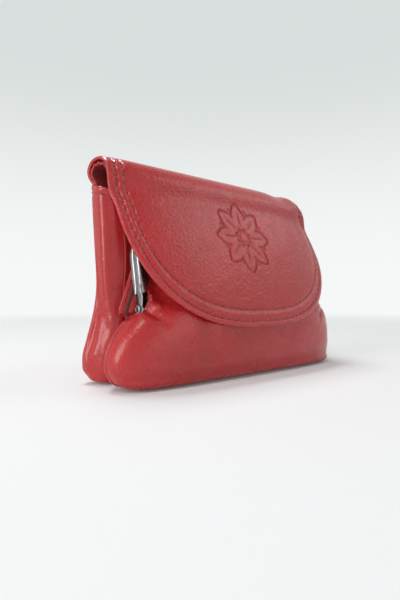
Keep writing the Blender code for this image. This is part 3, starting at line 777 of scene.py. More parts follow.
def even_tip(points, rows, rounds):
    """Spread the tip's inner points evenly inside its outline, so that no cell there is a sliver."""
    tip = points[-rows:]
    for _ in range(rounds):
        tip[1:-1, 1:-1] = (tip[:-2, 1:-1] + tip[2:, 1:-1] + tip[1:-1, :-2] + tip[1:-1, 2:]) / 4
    for row in tip[1:-1]:
        for place in row[1:-1]:
            place[1] = FOLD_Y - flap_forward(place[0], place[2])


def facing_with_flap(points):
    """The outward direction, worked out from the flap's own shape where the skin is the flap."""
    facing, step = facing_of(points), 0.2 * MM
    on_flap = (points[..., 1] < 8 * MM) & (points[..., 2] < FLAP_START_Z)
    for row, column in zip(*np.nonzero(on_flap)):
        x, _, z = points[row, column]
        across = (flap_forward(x + step, z) - flap_forward(x - step, z)) / (2 * step)
        up = (flap_forward(x, z + step) - flap_forward(x, z - step)) / (2 * step)
        flat = np.array([-across, -1.0, -up])
        share = min(1.0, (FLAP_START_Z - z) / (6 * MM))
        facing[row, column] = (1 - share) * facing[row, column] + share * flat / np.linalg.norm(flat)
    return facing


BACK_AND_FLAP = loft(back_and_flap_sections(), 215)
even_tip(BACK_AND_FLAP, rows=11, rounds=80)
FLAP_FACING = facing_with_flap(BACK_AND_FLAP)
print("back and flap: %d by %d points" % BACK_AND_FLAP.shape[:2])

# %% [markdown]
# ## Measuring along the edge
# The stitching follows the edge of the long piece, all the way round the flap and down the back. So each point
# needs to know how far in from the edge it lies, and how far along the edge it is.

# %% Inset and run of each point
def border_of(points):
    """The line along one side, round the far end and back along the other side."""
    return np.concatenate([points[:, 0], points[-1, 1:-1], points[::-1, -1]])


def runs_of(line):
    """The distance along a line of points, at each of them."""
    return np.concatenate([[0.0], np.cumsum(np.linalg.norm(np.diff(line, axis=0), axis=1))])


def along(line, runs, wanted):
    """Points of a line at the wanted distances along it."""
    return np.stack([np.interp(wanted, runs, line[:, axis]) for axis in range(3)], axis=1)


def measure_from(border, places):
    """How far each place lies from the border, and how far along the border that is."""
    runs = runs_of(border)
    wanted = np.arange(0, runs[-1], 0.2 * MM)
    tree = KDTree(len(wanted))
    for i, dot in enumerate(along(border, runs, wanted)):
        tree.insert(dot, i)
    tree.balance()
    found = [tree.find(place) for place in places]
    return np.array([hit[2] for hit in found]), wanted[[hit[1] for hit in found]]


def write_number(piece, name, values):
    """Keep a number at every vertex of the piece."""
    kept = piece.data.attributes.new(name, "FLOAT", "POINT")
    kept.data.foreach_set("value", np.asarray(values, np.float32))


SPREAD_BELOW, SPREAD_OVER, OUTER_SPREAD, INNER_SPREAD = 52 * MM, 22 * MM, 1.0 * MM, 0.8 * MM
BACK_FROM_Y, SEAM_ENDS_BELOW, SEAM_ENDS_OVER, UNSEWN = 11 * MM, 79 * MM, 3 * MM, 20 * MM


def rows_at(places):
    """How far in from the edge the two rows of stitches run: they draw apart towards the flap's tip."""
    low = np.where(places[..., 1] < 0, limited((SPREAD_BELOW - places[..., 2]) / SPREAD_OVER), 0)
    return SEAM_INSETS[0] - OUTER_SPREAD * low, SEAM_INSETS[1] + INNER_SPREAD * low


def seam_inset(inset, places):
    """The inset, stretched so that the rows always lie at the same two values. The back has no seam."""
    outer, inner = rows_at(places)
    first, second = SEAM_INSETS
    between_rows = first + (inset - outer) * (second - first) / (inner - outer)
    inside = np.where(inset < inner, between_rows, second + inset - inner)
    even = np.where(inset < outer, inset * first / outer, inside)
    below = limited((SEAM_ENDS_BELOW - places[..., 2]) / SEAM_ENDS_OVER)
    return even + np.where(places[..., 1] > BACK_FROM_Y, below, 0) * UNSEWN


def mark_rim(piece, border, width):
    """The edge's rubbed band, from 1 at the edge to 0 at a distance."""
    inset, run = measure_from(border, vertex_places(piece))
    write_number(piece, "rim", limited(1 - inset / width))
    return inset, run


def sheet(name, skin, thickness, *finish, edge=None, rim=0.0):
    """A soft piece laid on a skin, with its thickness, its rubbed edge and its finish."""
    piece = lay(name, skin)
    thicken(piece, thickness)
    if edge is not None:
        mark_rim(piece, edge, rim)
    remember(piece)
    return finish_piece(piece, *finish)


FLAP_BORDER = border_of(BACK_AND_FLAP)
inset_grid = measure_from(FLAP_BORDER, BACK_AND_FLAP.reshape(-1, 3))[0].reshape(BACK_AND_FLAP.shape[:2])
print("edge %.0f mm long" % (runs_of(FLAP_BORDER)[-1] / MM))

# %% [markdown]
# ## The rosette
# A tooled rosette is pressed into the middle of the flap: eight pointed petals round a button, with a seed
# between each two. It is a traditional pattern of leather tooling. The depth at a point is worked out from its
# place in a petal, and the mesh is made finer there first.

# %% Depth of the tooling
ROSETTE_Z, ROSETTE_REACH = 61.2 * MM, 17 * MM
BUTTON_RADIUS, PETAL_START, PETAL_END, PETAL_HALF_WIDTH = 2.6 * MM, 3.4 * MM, 16.4 * MM, 4.3 * MM
VEIN_END, DEEPEST = 0.72, 1.1
SEEDS = ((13.2 * MM, 0.8 * MM, 0.7), (9.9 * MM, 0.5 * MM, 0.5))


def rosette_depth(x, up):
    """How deep the tool pressed at a place, given from the rosette's middle."""
    radius, turn = math.hypot(x, up), math.atan2(x, up)
    step = math.pi / 4
    off = (turn + step / 2) % step - step / 2
    lateral, reach = abs(radius * math.sin(off)), radius * math.cos(off)
    depth = 0.55 * bell(radius - BUTTON_RADIUS, 0.45 * MM)
    if PETAL_START < reach < PETAL_END:
        share = (reach - PETAL_START) / (PETAL_END - PETAL_START)
        edge = PETAL_HALF_WIDTH * math.sin(math.pi * share**0.8) ** 0.75
        depth += bell(lateral - edge, 0.5 * MM)
        if share < VEIN_END:
            depth += 0.5 * (bell(lateral, 0.35 * MM) * min(1.0, 4 * share, 5 * (VEIN_END - share)))
        if lateral < edge:
            depth += 0.25 * (1 - lateral / edge)
    aside = step / 2 - abs(off)
    for seed_reach, size, strength in SEEDS:
        seed = math.hypot(radius * math.cos(aside) - seed_reach, radius * math.sin(aside))
        depth += strength * bell(seed, size)
    return min(DEEPEST, depth)


# %% Lay the long piece
even_inset = seam_inset(inset_grid, BACK_AND_FLAP)
seam_dip = sum(bell(even_inset - middle, 0.8 * MM) for middle in SEAM_INSETS)
swell_between = bell(even_inset - 4.95 * MM, 1.0 * MM)
rim_swell = bell(even_inset - 1.7 * MM, 1.1 * MM)
rounded = bell(inset_grid, 0.55 * MM)
relief_grid = (0.16 * swell_between + 0.14 * rim_swell - 0.28 * seam_dip - 0.45 * rounded) * MM
back_and_flap = lay("back_and_flap", raised(BACK_AND_FLAP, relief_grid, FLAP_FACING))
thicken(back_and_flap, LEATHER)


def under_the_tool(face):
    """Whether a face is on the flap's outside where the rosette goes."""
    middle = face.center
    in_circle = math.hypot(middle.x, middle.z - ROSETTE_Z) < ROSETTE_REACH
    return in_circle and middle.y < 0 and face.normal.y < -0.2


mesh = back_and_flap.data
choose(back_and_flap, "FACE", under_the_tool)
bpy.ops.mesh.subdivide(number_cuts=2)
bpy.ops.object.mode_set(mode="OBJECT")
slope = math.atan(FLAP_SLOPE)
flap_normal = Vector((0, -math.cos(slope), math.sin(slope)))
OUTER_SKIN, TOOL_DEPTH = 0.6 * MM, 0.6 * MM
pressed = np.zeros(len(mesh.vertices))
for vertex in mesh.vertices:
    x, up = vertex.co.x, vertex.co.z - ROSETTE_Z
    if math.hypot(x, up) < ROSETTE_REACH and vertex.co.y < 0:
        depth_behind = flap_forward(x, vertex.co.z) - (FOLD_Y - vertex.co.y)
        if depth_behind < OUTER_SKIN:
            pressed[vertex.index] = rosette_depth(x, up)
            vertex.co -= flap_normal * TOOL_DEPTH * pressed[vertex.index]
write_number(back_and_flap, "pressed", pressed)
print("back and flap vertices:", len(mesh.vertices))

# %% Mark its edges and its seam
inset, run = mark_rim(back_and_flap, FLAP_BORDER, 1.6 * MM)
write_number(back_and_flap, "seam_run", run)
write_number(back_and_flap, "seam_inset", seam_inset(inset, vertex_places(back_and_flap)))
remember(back_and_flap)
finish_piece(back_and_flap, SEAMED_LEATHER, "back_panel", "flap_leather")
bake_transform(back_and_flap)

# %% [markdown]
# ## The lining of the back and the flap
# A thinner leather faces the inside. It is the same skin, moved in by the outer leather's thickness, cut a
# little smaller all round, and it starts above the foot.

# %% Lining of the long piece
def first_row_above(height):
    """The first row of the long piece that lies above a height on the back."""
    return int(np.argmax(BACK_AND_FLAP[:, BACK_AND_FLAP.shape[1] // 2, 2] > height))


xs, ys, zs = np.moveaxis(BACK_AND_FLAP, 2, 0)
in_fold, at_ends = limited((zs - 80 * MM) / (5 * MM)), limited((np.abs(SHARES) - 0.86) / 0.12)
ripple = 0.75 + 0.25 * np.sin(ys * 1500 + xs * 300)
loose = in_fold * at_ends * ripple * limited((ys - 3 * MM) / (5 * MM)) * 1.3 * MM
inner = raised(BACK_AND_FLAP, -1.25 * MM - loose - 0.45 * MM * rounded, FLAP_FACING)
near_tip = np.where(inner[..., 1] < 0, limited((34 * MM - inner[..., 2]) / (12 * MM)), 0)
inner[..., 2] += 0.9 * MM * near_tip
inner = inner[first_row_above(5 * MM) : -1, 1:-1]
nodes = ("back_lining", "flap_lining")
back_and_flap_lining = sheet("back_and_flap_lining", inner, 0.9 * MM, LINING_FINISH, *nodes)
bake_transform(back_and_flap_lining)

# %% [markdown]
# ## The pocket's sides and front
# Each gusset is a strip that bulges outwards, pinched in at the waist, with a fat foot. Its top edge is turned
# in and stitched, and rises towards the back. The divider between the pocket and the coin pouch is nearly flat.

# %% Gussets
HEM_HEIGHT, RUBBED = 73.5 * MM, 1.8 * MM
GUSSET_FOLDS = (
    # width, height, and places as half width, forward and height
    (2.6, 0.75, ((62.0, 0.7, 83), (62.0, 0.7, 75), (61.2, 1.1, 64), (60.7, 1.1, 53), (60.5, 0.9, 45),
                 (59.6, 1.2, 35), (58.9, 1.8, 29), (57.6, 3.0, 21))),
    (1.9, 0.7, ((60.8, -1.2, 34), (61.8, -1.0, 27), (62.4, -0.9, 21), (63.4, -1.2, 15), (64.0, -1.8, 8))),
    (1.4, -0.25, ((60.6, -2.9, 40), (61.8, -3.3, 30), (63.0, -3.6, 22), (64.6, -3.8, 13))),
    (1.8, -0.35, ((59.6, 2.2, 31), (60.6, 1.2, 24), (61.8, 0.8, 16))),
    (0.6, 0.35, ((61.5, -4.4, 55), (61.0, -3.6, 40), (61.7, -4.2, 30), (62.8, -4.9, 23), (64.6, -5.4, 17),
                 (65.6, -5.6, 10), (64.6, -4.0, 5), (61.0, -2.6, 0))),
)


def gusset_sections(side):
    """From the middle of the foot up to the turned top edge, which rises towards the back."""
    shares = np.linspace(side, -side, 45)
    sections = [[at(side * 46 * MM, FOOT_MIDDLE, 0) for _ in shares]]
    for z in WALL_HEIGHTS[:-1]:
        sections.append([pocket_side(s, z * MM, side) for s in shares])
    hem = [pocket_side(s, HEM_HEIGHT, side) for s in shares]
    for rise in (0.0, 1.0):
        heights = HEM_HEIGHT + rise * (1.8 * MM + 4.2 * MM * (0.5 - 0.5 * shares))
        sections.append([(x, y, z) for (x, y, _), z in zip(hem, heights)])
    return sections


def make_gusset(name, side, node):
    """A side wall of the pocket, with its folds and its seam."""
    skin = loft(gusset_sections(side), 110)
    folds = []
    for width, height, path in GUSSET_FOLDS:
        folds.append((width, height, [at(side * x * MM, forward * MM, z * MM) for x, forward, z in path]))
    from_top = skin[-1:, :, 2] - skin[..., 2]
    seam, roll = bell(from_top - 3.0 * MM, 0.8 * MM), bell(from_top - 1.2 * MM, 1.2 * MM)
    skin = raised(skin, all_folds(skin, folds) - 0.28 * MM * seam + 0.3 * MM * roll)
    piece = sheet(name, skin, LEATHER, SIDE_LEATHER, node, edge=skin[-1], rim=RUBBED)
    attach(piece, "purse")
    return piece, skin


LEFT_GUSSET = make_gusset("left_gusset_leather", -1, "left_gusset")
RIGHT_GUSSET = make_gusset("right_gusset_leather", 1, "right_gusset")

# %% Divider between the pocket and the pouch
skin = loft(wall_sections(np.linspace(-1, 1, 90), False), 70)
divider = sheet("divider_leather", skin, LEATHER, SIDE_LEATHER, "pocket_divider", edge=skin[-1], rim=RUBBED)
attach(divider, "purse")
DIVIDER = (divider, skin)

# %% [markdown]
# ## The coin pouch
# The pouch is a fat leather bag below the frame. Its front and its back are joined down the two side seams. The
# front rises into the front half of the frame. The back rises into the rear half and stays.

# %% The pouch's outline
POUCH_LEFT, POUCH_RIGHT, SEAM_FORWARD = 66.6 * MM, 63.4 * MM, 13.4 * MM
FRONT_DEPTH, BACK_DEPTH = 15.1 * MM, 7.6 * MM
BOWL_HEIGHTS = (0, 0.5, 1.2, 2.6, 4.5, 7, 10, 13, 16, 19, 22, 25)
CHANNEL_FACE, CHANNEL_MOUTH, FRONT_SWELL = 2.3 * MM, 4.5 * MM, 10.2 * MM
SWELL_REACH, SWELL_FADE, SLACK_OUT, SLACK_FORWARD = 50.1 * MM, 15 * MM, 5 * MM, 4 * MM
POUCH_STATIONS = (
    # height, half width on the left and on the right, half depth
    (0.0, 0.84, 0.92, 0.56),
    (1.2, 0.91, 0.96, 0.77),
    (4.5, 0.975, 0.99, 0.93),
    (10.0, 1.0, 1.01, 0.99),
    (15.0, 0.985, 1.005, 1.0),
    (20.0, 0.945, 0.995, 1.0),
    (25.0, 0.885, 0.97, 0.985),
)
ACROSS = np.sin(np.linspace(-math.pi / 2, math.pi / 2, 141))


def pouch_outline(share, z, sign):
    """A point of the bowl's front (sign 1) or back (sign -1), from one side seam to the other."""
    left, right, depth = through(POUCH_STATIONS, z)
    half_depth = FRONT_DEPTH if sign > 0 else BACK_DEPTH
    power = 3 + 2.5 * max(0.0, 1 - z / 7) ** 2
    forward = half_depth * depth * (1 - abs(share) ** power) ** (1 / power)
    side = POUCH_LEFT * left if share < 0 else POUCH_RIGHT * right
    return at(side * share, SEAM_FORWARD + sign * forward, z * MM)


def arch_size(tuck):
    """Half width, height and corner radius of the frame's arch, a distance inside its outer edge."""
    return FRAME_HALF_WIDTH - tuck, FRAME_HEIGHT - tuck, FRAME_CORNER - tuck


def arch_height(x, tuck):
    """How high the arch stands at x, a distance inside its outer edge."""
    side, top, radius = arch_size(tuck)
    beyond = max(0.0, abs(x) - (side - radius))
    return top - radius + math.sqrt(max(0.0, radius**2 - beyond**2))


def front_out(x, up):
    """How far the pouch's front swells forward of the frame's plane."""
    inside = limited((SWELL_REACH - abs(x)) / SWELL_FADE)
    share = limited(up / arch_height(x, CHANNEL_MOUTH))
    fade = (1 - share**1.2) ** 1.6
    return CHANNEL_FACE + (FRONT_SWELL - CHANNEL_FACE) * (inside**2 * (3 - 2 * inside)) * fade


# %% Sections of the front and the back
def bowl_sections(sign, shares):
    """From the middle of the pouch's foot up to its shoulder."""
    foot = [at(50 * MM * s, SEAM_FORWARD, 0) for s in shares]
    return [foot] + [[pouch_outline(s, z, sign) for s in shares] for z in BOWL_HEIGHTS]


def front_sections(tuck):
    """The front, up to the frame; what is tucked in less than the channel's mouth goes on into the channel."""
    sections = bowl_sections(1, ACROSS)
    reach = FRAME_HALF_WIDTH - tuck
    for rise in (0.14, 0.26, 0.4, 0.55, 0.7, 0.82, 0.92, 1.0):
        row = []
        for s in ACROSS:
            x, up = reach * s, arch_height(reach * s, CHANNEL_MOUTH) * rise
            slack = math.sin(math.pi * max(0.0, (s - 0.70) / 0.30) ** 1.1) * (1 - rise) ** 3
            row.append(on_frame(x + slack * SLACK_OUT, front_out(x, up) + slack * SLACK_FORWARD, up))
        sections.append(row)
    if tuck < CHANNEL_MOUTH:
        sections.append([on_frame(reach * s, CHANNEL_FACE, arch_height(reach * s, tuck)) for s in ACROSS])
    return sections


def back_sections(tuck):
    """The back, up into the rear channel of the frame. Slack leather bulges out behind the frame's legs."""
    shares = ACROSS[::-1]
    sections = bowl_sections(-1, shares)
    reach = FRAME_HALF_WIDTH - tuck
    for rise in (0.06, 0.18, 0.3, 0.45, 0.6, 0.75, 0.88, 1.0):
        row = []
        for s in shares:
            place = limited((abs(s) - 0.80) / 0.20)
            band = math.sin(math.pi * place**1.3) * (1 - rise) ** 0.85
            x = reach * s + math.copysign(band * 13 * MM, s)
            up = -1.6 * MM + (arch_height(reach * s, tuck) + 1.6 * MM) * rise
            bulge = 6 * MM * (1 - abs(s) ** 2.6) * (1 - rise) ** 1.2 + 2.2 * MM * band
            row.append(on_frame(x, -CHANNEL_FACE - bulge, up))
        sections.append(row)
    return sections


# %% Lay the pouch's leather
LEATHER_TUCK, CLOTH_TUCK = 3.0 * MM, 4.6 * MM
front_skin = loft(front_sections(LEATHER_TUCK), 120)
back_skin = loft(back_sections(LEATHER_TUCK), 100)


def seam_line(points, depth):
    """A groove along both side seams of the bowl, with a soft ridge beside it."""
    steps = np.linalg.norm(np.diff(points, axis=1), axis=2)
    from_left = np.concatenate([np.zeros((len(points), 1)), np.cumsum(steps, axis=1)], axis=1)
    inset = np.minimum(from_left, from_left[:, -1:] - from_left)
    bowl = limited((28 * MM - points[..., 2]) / (4 * MM))
    return bowl * depth * (0.6 * bell(inset - 1.6 * MM, 0.8 * MM) - bell(inset, 0.8 * MM))


FRONT_FOLDS = [
    # a valley, the ridges beside it and a softer valley, then a small fold where the frame's left leg ends
    (3.2, -0.8, ((-0.030, -0.019, 0.036), (-0.029, -0.020, 0.014), (-0.026, -0.015, 0.002))),
    (4.0, 0.7, ((-0.021, -0.019, 0.034), (-0.020, -0.020, 0.012))),
    (4.0, 0.5, ((-0.037, -0.019, 0.034), (-0.036, -0.020, 0.012))),
    (7.0, -0.35, ((0.018, -0.019, 0.030), (0.024, -0.020, 0.012))),
    (2.2, 3.0, ((-0.052, -0.0085, 0.0375), (-0.0508, -0.0092, 0.0352),
                (-0.0495, -0.0105, 0.0325), (-0.048, -0.012, 0.0305))),
]
for side in (-1, 1):
    FRONT_FOLDS += [
        # a pinch and two gathers at each hinge
        (1.5, -0.9, ((side * 0.0545, -0.0075, 0.0325), (side * 0.0535, -0.0085, 0.031),
                     (side * 0.0505, -0.0125, 0.0275), (side * 0.045, -0.019, 0.022))),
        (0.7, -0.35, ((side * 0.0575, -0.005, 0.0265), (side * 0.0545, -0.008, 0.0285))),
        (0.7, -0.35, ((side * 0.0585, -0.005, 0.0235), (side * 0.0555, -0.008, 0.0255))),
    ]


def pouch_side(name, skin, relief, *nodes):
    """The front or the back of the pouch, with its side seams and its folds."""
    laid = raised(skin, seam_line(skin, 0.45 * MM) + relief)
    return sheet(name, laid, LEATHER, POUCH_LEATHER, *nodes, edge=skin[:, 0], rim=1.2 * MM)


relief = all_folds(front_skin, FRONT_FOLDS)
pouch_front = pouch_side("pouch_front_leather", front_skin, relief, "pouch_front_panel", "pouch_bag")
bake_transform(pouch_front)
pouch_back = pouch_side("pouch_back_leather", back_skin, 0.0, "pouch_bag")
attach(pouch_back, "purse")

# %% [markdown]
# ## The pouch's cloth lining
# The lining repeats the leather's shape one leather thickness further in, and ends at the frame's channels.

# %% Lay the pouch's lining
CLOTH = 0.5 * MM
cloth_skin = loft(front_sections(CLOTH_TUCK), 70)
front_cloth = raised(cloth_skin, np.minimum(all_folds(cloth_skin, FRONT_FOLDS), 0) - 1.6 * MM)[2:]
nodes = ("pouch_front_lining", "pouch_lining")
pouch_front_cloth = sheet("pouch_front_cloth", front_cloth, CLOTH, CLOTH_FINISH, *nodes)
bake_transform(pouch_front_cloth)

back_cloth = raised(loft(back_sections(CLOTH_TUCK), 64), -1.35 * MM)[2:]
pouch_back_cloth = sheet("pouch_back_cloth", back_cloth, CLOTH, CLOTH_FINISH, "pouch_lining")
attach(pouch_back_cloth, "purse")

# %% [markdown]
# ## The clasp frame
# Each half is a steel channel: a strip folded to a U, bent to an arch, with a flat tab at each end for the
# hinge. The U is drawn at the foot of one leg, extruded up, spun round the corner, extruded across, and so on.
# The work is done upright round the hinge, and the finished half is then leaned back.

# %% The channel's section
def channel_outline():
    """Places round the U's section, as inward and outward distances from the arch's outer edge."""
    half, wall, depth, soft = 1.55 * MM, 0.55 * MM, 4.2 * MM, 1.1 * MM
    inner = half - wall
    outline = [(depth - 0.15 * MM, half), (2.6 * MM, half)]
    for angle in np.linspace(0, math.pi / 2, 6):
        outline.append((soft - soft * math.sin(angle), half - soft + soft * math.cos(angle)))
    outline += [(a, -b) for a, b in outline[::-1]]
    lip = [(depth, -half + 0.15 * MM), (depth, -inner - 0.1 * MM), (depth - 0.1 * MM, -inner)]
    slot = lip + [(wall + 0.5 * MM, -inner), (wall, -inner + 0.5 * MM)]
    return outline + slot + [(a, -b) for a, b in slot[::-1]]


def lean(piece):
    """Lean a piece made upright round the hinge to where the frame stands."""
    turn = Matrix.Rotation(-FRAME_LEAN, 4, "X")
    piece.matrix_world = Matrix.Translation((0, HINGE_Y, HINGE_Z)) @ turn @ piece.matrix_world
    return settle(piece)


# %% Bend the channel
LEG_FOOT, LEG_NARROW = 6 * MM, 6 * MM + 5 * MM


def draw_on(times, x, z):
    """Extrude the open end a number of times by one step."""
    for _ in range(times):
        bpy.ops.mesh.extrude_region_move(TRANSFORM_OT_translate={"value": (x, 0, z)})


def round_corner(x):
    """Spin the open end a quarter turn about the corner at x."""
    pivot = (x, 0, FRAME_HEIGHT - FRAME_CORNER)
    bpy.ops.mesh.spin(steps=14, angle=-math.pi / 2, center=pivot, axis=(0, 1, 0))


def bend_channel(name, out):
    """One channel of the frame, upright round the hinge, with its middle a distance out of the plane."""
    outline = channel_outline()
    fresh()
    bpy.ops.mesh.primitive_circle_add(vertices=len(outline), radius=0.01)
    piece = just_added(name)
    for vertex, (inward, away) in zip(piece.data.vertices, outline):
        vertex.co = (-FRAME_HALF_WIDTH + inward, -(out + away), LEG_FOOT)
    edit_all(piece)
    corner_x, leg = FRAME_HALF_WIDTH - FRAME_CORNER, FRAME_HEIGHT - FRAME_CORNER - LEG_FOOT
    draw_on(4, 0, leg / 4)
    round_corner(-corner_x)
    draw_on(12, 2 * corner_x / 12, 0)
    round_corner(corner_x)
    draw_on(4, 0, -leg / 4)
    mend(piece, TUBE_GAP)
    for vertex in piece.data.vertices:
        if vertex.co.z < LEG_NARROW:
            share = ((LEG_NARROW - vertex.co.z) / (LEG_NARROW - LEG_FOOT)) ** 1.5
            inward = FRAME_HALF_WIDTH - abs(vertex.co.x)
            vertex.co.x = math.copysign(FRAME_HALF_WIDTH - inward * (1 - 0.55 * share), vertex.co.x)
            vertex.co.y = -out + (vertex.co.y + out) * (1 - 0.3 * share)
    return piece


# %% The flat tabs
def make_tab(side, out, inner_x):
    """A flat tab: an eye round the hinge, a neck, and a root that lies in the end of the channel."""
    fresh()
    eye, neck_from, neck_top, root, half_root = 2.1 * MM, 1.2 * MM, 4.2 * MM, 5 * MM, 1.3 * MM
    bpy.ops.mesh.primitive_circle_add(vertices=32, radius=eye, fill_type="NGON")
    piece = bpy.context.object
    for vertex in piece.data.vertices:
        across, up = vertex.co.x, vertex.co.y
        if up > neck_from:
            across, up = across * 0.95, neck_top
        vertex.co = (side * inner_x, -across - out * (1 if up == neck_top else 0.35), up)
    choose(piece, "EDGE", lambda edge: all(piece.data.vertices[i].co.z > 4 * MM for i in edge.vertices))
    draw_on(1, 0, root)
    fresh()
    for vertex in piece.data.vertices:
        if vertex.co.z > 8 * MM:
            vertex.co.y = -out + max(-half_root, min(half_root, (vertex.co.y + out) * 1.5))
    wall = piece.modifiers.new("wall", "SOLIDIFY")
    wall.thickness, wall.offset = 0.55 * MM, 0
    rounded_edge = piece.modifiers.new("rounded", "BEVEL")
    rounded_edge.width, rounded_edge.segments, rounded_edge.limit_method = 0.13 * MM, 2, "ANGLE"
    return apply_modifiers(piece)


# %% Make both halves
def make_half(name, out, tab_x, body, node):
    """A channel and its two tabs, leaned back and joined."""
    channel = bend_channel(name, out)
    tabs = [make_tab(side, out, tab_x) for side in (-1, 1)]
    pick(channel)
    for tab in tabs:
        tab.select_set(True)
    bpy.ops.object.join()
    lean(channel)
    pick(channel)
    bpy.ops.object.shade_smooth_by_angle(angle=math.radians(35))
    remember(channel)
    finish_piece(channel, FRAME_FINISH, node)
    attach(channel, body)


CHANNEL_MIDDLE = 1.7 * MM
make_half("front_channel", CHANNEL_MIDDLE, 54.2 * MM, "front_frame_half", "front_frame")
make_half("rear_channel", -CHANNEL_MIDDLE, 53.35 * MM, "purse", "rear_frame")

# %% [markdown]
# ## Turned pieces
# Rivets, clasp balls and the halves of the snap are turned round an axis. A ring is added, then extruded and
# scaled from one point of the profile to the next, and the ends are closed to a point.

# %% A lathe made of extrusions
def turned(name, profile, place, facing, finish, body, node, sides=32):
    """A piece turned round an axis, from (radius, height) points in millimetres."""
    fresh()
    radius, height = profile[0]
    bpy.ops.mesh.primitive_circle_add(vertices=sides, radius=radius * MM)
    piece = just_added(name)
    edit_all(piece)
    bpy.ops.transform.translate(value=(0, 0, height * MM))
    for next_radius, next_height in profile[1:]:
        draw_on(1, 0, (next_height - height) * MM)
        ratio = next_radius / radius
        bpy.ops.transform.resize(value=(ratio, ratio, 1), center_override=(0, 0, next_height * MM))
        radius, height = next_radius, next_height
    mend(piece, POLE_GAP)
    turn = Vector(facing).normalized().to_track_quat("Z", "Y").to_matrix().to_4x4()
    piece.matrix_world = Matrix.Translation(place) @ turn
    settle(piece)
    bpy.ops.object.shade_smooth_by_angle(angle=math.radians(40))
    remember(piece)
    finish_piece(piece, finish, node)
    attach(piece, body)


POINT = 0.004

# %% Hinge rivets
def make_rivet(name, side, node):
    """A hollow rivet through both tabs, with a rolled head outside."""
    head = [(0.62, 53.5), (0.62, 55.0), (0.72, 55.22), (1.0, 55.34), (1.4, 55.3), (1.7, 55.15), (1.8, 54.95)]
    shank = [(1.75, 54.75), (1.15, 54.7), (1.15, 52.95), (1.8, 52.9), (1.8, 52.6), (0.62, 52.45), (0.62, 53.5)]
    turned(name, head + shank, (0, HINGE_Y, HINGE_Z), (side, 0, 0), FRAME_FINISH, "purse", node)


make_rivet("left_rivet", -1, "left_hinge_rivet")
make_rivet("right_rivet", 1, "right_hinge_rivet")

# %% Clasp balls
def make_ball(name, sign, body, node):
    """A ball on a stem that leans over the other half of the frame."""
    x, radius, neck = -sign * 2.95 * MM, 2.6, 0.85
    centre = Vector(on_frame(x, -sign * 0.5 * MM, FRAME_HEIGHT + 4.4 * MM))
    foot = Vector(on_frame(x, sign * CHANNEL_MIDDLE, FRAME_HEIGHT))
    axis = centre - foot
    reach = axis.length / MM
    profile = [(POINT, 0.0), (1.25, 0.0), (1.3, 0.5), (1.15, 0.95), (neck, 1.3)]
    for angle in np.linspace(math.asin(neck / radius), math.pi, 16):
        profile.append((max(POINT, radius * math.sin(angle)), reach - radius * math.cos(angle)))
    turned(name, profile, foot, axis, FRAME_FINISH, body, node)


make_ball("front_ball", 1, "front_frame_half", "front_clasp_ball")
make_ball("rear_ball", -1, "purse", "rear_clasp_ball")

# %% [markdown]
# ## The hidden snap
# A small magnetic snap holds the flap. Its ring sits on the pouch and its cap under the flap. The two face each
# other along one line, midway between the pouch's slope and the flap's.

# %% Snap ring and cap
def middle_of(node):
    """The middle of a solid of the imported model."""
    low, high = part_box(node)
    return (low + high) / 2


RING = [(2.4, -0.55), (4.2, -0.55), (4.5, -0.35), (4.5, 0.2), (4.2, 0.5), (3.4, 0.55), (2.6, 0.5), (2.4, 0.3),
        (2.4, -0.55)]
CAP = [(POINT, -0.6), (3.9, -0.6), (4.2, -0.4), (4.2, -0.1), (3.9, 0.05), (2.0, 0.08), (1.8, 0.2), (1.7, 0.5),
       (1.4, 0.6), (POINT, 0.62)]
socket_middle, stud_middle = middle_of("pouch_snap_socket"), middle_of("flap_snap_stud")
snap_facing = (stud_middle - socket_middle).normalized()
turned("snap_ring", RING, socket_middle, snap_facing, SNAP_FINISH, "front_frame_half", "pouch_snap_socket", 40)
turned("snap_cap", CAP, stud_middle, -snap_facing, SNAP_FINISH, "flap", "flap_snap_stud", 40)

# %% [markdown]
# ## Paper cord
# A twisted paper cord wedges the leather in each channel. It is a tube of two strands that wind round each
# other on the way along the arch.

# %% Wind the cords
CORD_RADIUS, CORD_TWIST = 0.62 * MM, 0.9


def arch_path(tuck, start):
    """Places (x, up) along the arch, a distance inside its outer edge, with the inward direction."""
    side, top, radius = arch_size(tuck)
    path = [((side, up), (-1, 0)) for up in np.linspace(start, top - radius, 8)[:-1]]
    for angle in np.linspace(0, math.pi / 2, 14):
        x, up = math.cos(angle), math.sin(angle)
        path.append(((side - radius + radius * x, top - radius + radius * up), (-x, -up)))
    path += [((x, top), (0, -1)) for x in np.linspace(side - radius, 0, 24)[1:]]
    return path + [((-x, up), (-a, b)) for (x, up), (a, b) in path[::-1][1:]]


def wind_cord(name, out, body, node):
    """A two-stranded cord along the arch."""
    points = []
    for i, ((x, up), (a, b)) in enumerate(arch_path(1.3 * MM, 10.5 * MM)):
        row = []
        for j in range(13):
            angle = 2 * math.pi * j / 12
            radius = CORD_RADIUS * (0.78 + 0.22 * abs(math.cos(angle + i * CORD_TWIST)))
            inward, away = radius * math.cos(angle), radius * math.sin(angle)
            row.append(on_frame(x + a * inward, out + away, up + b * inward))
        points.append(row)
    piece = lay(name, np.array(points))
    mend(piece, TUBE_GAP)
    bpy.ops.object.shade_smooth()
    remember(piece)
    finish_piece(piece, CORD_FINISH, node)
    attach(piece, body)


wind_cord("front_paper_cord", CHANNEL_MIDDLE, "front_frame_half", "front_frame_cord")
wind_cord("rear_paper_cord", -CHANNEL_MIDDLE, "purse", "rear_frame_cord")

# %% [markdown]
# ## Stitching
# One stitch is modelled: a small ball, stretched and flattened, with its ends drawn down into the leather. It is
# copied along every seam that shows, and the copies of a seam are joined.

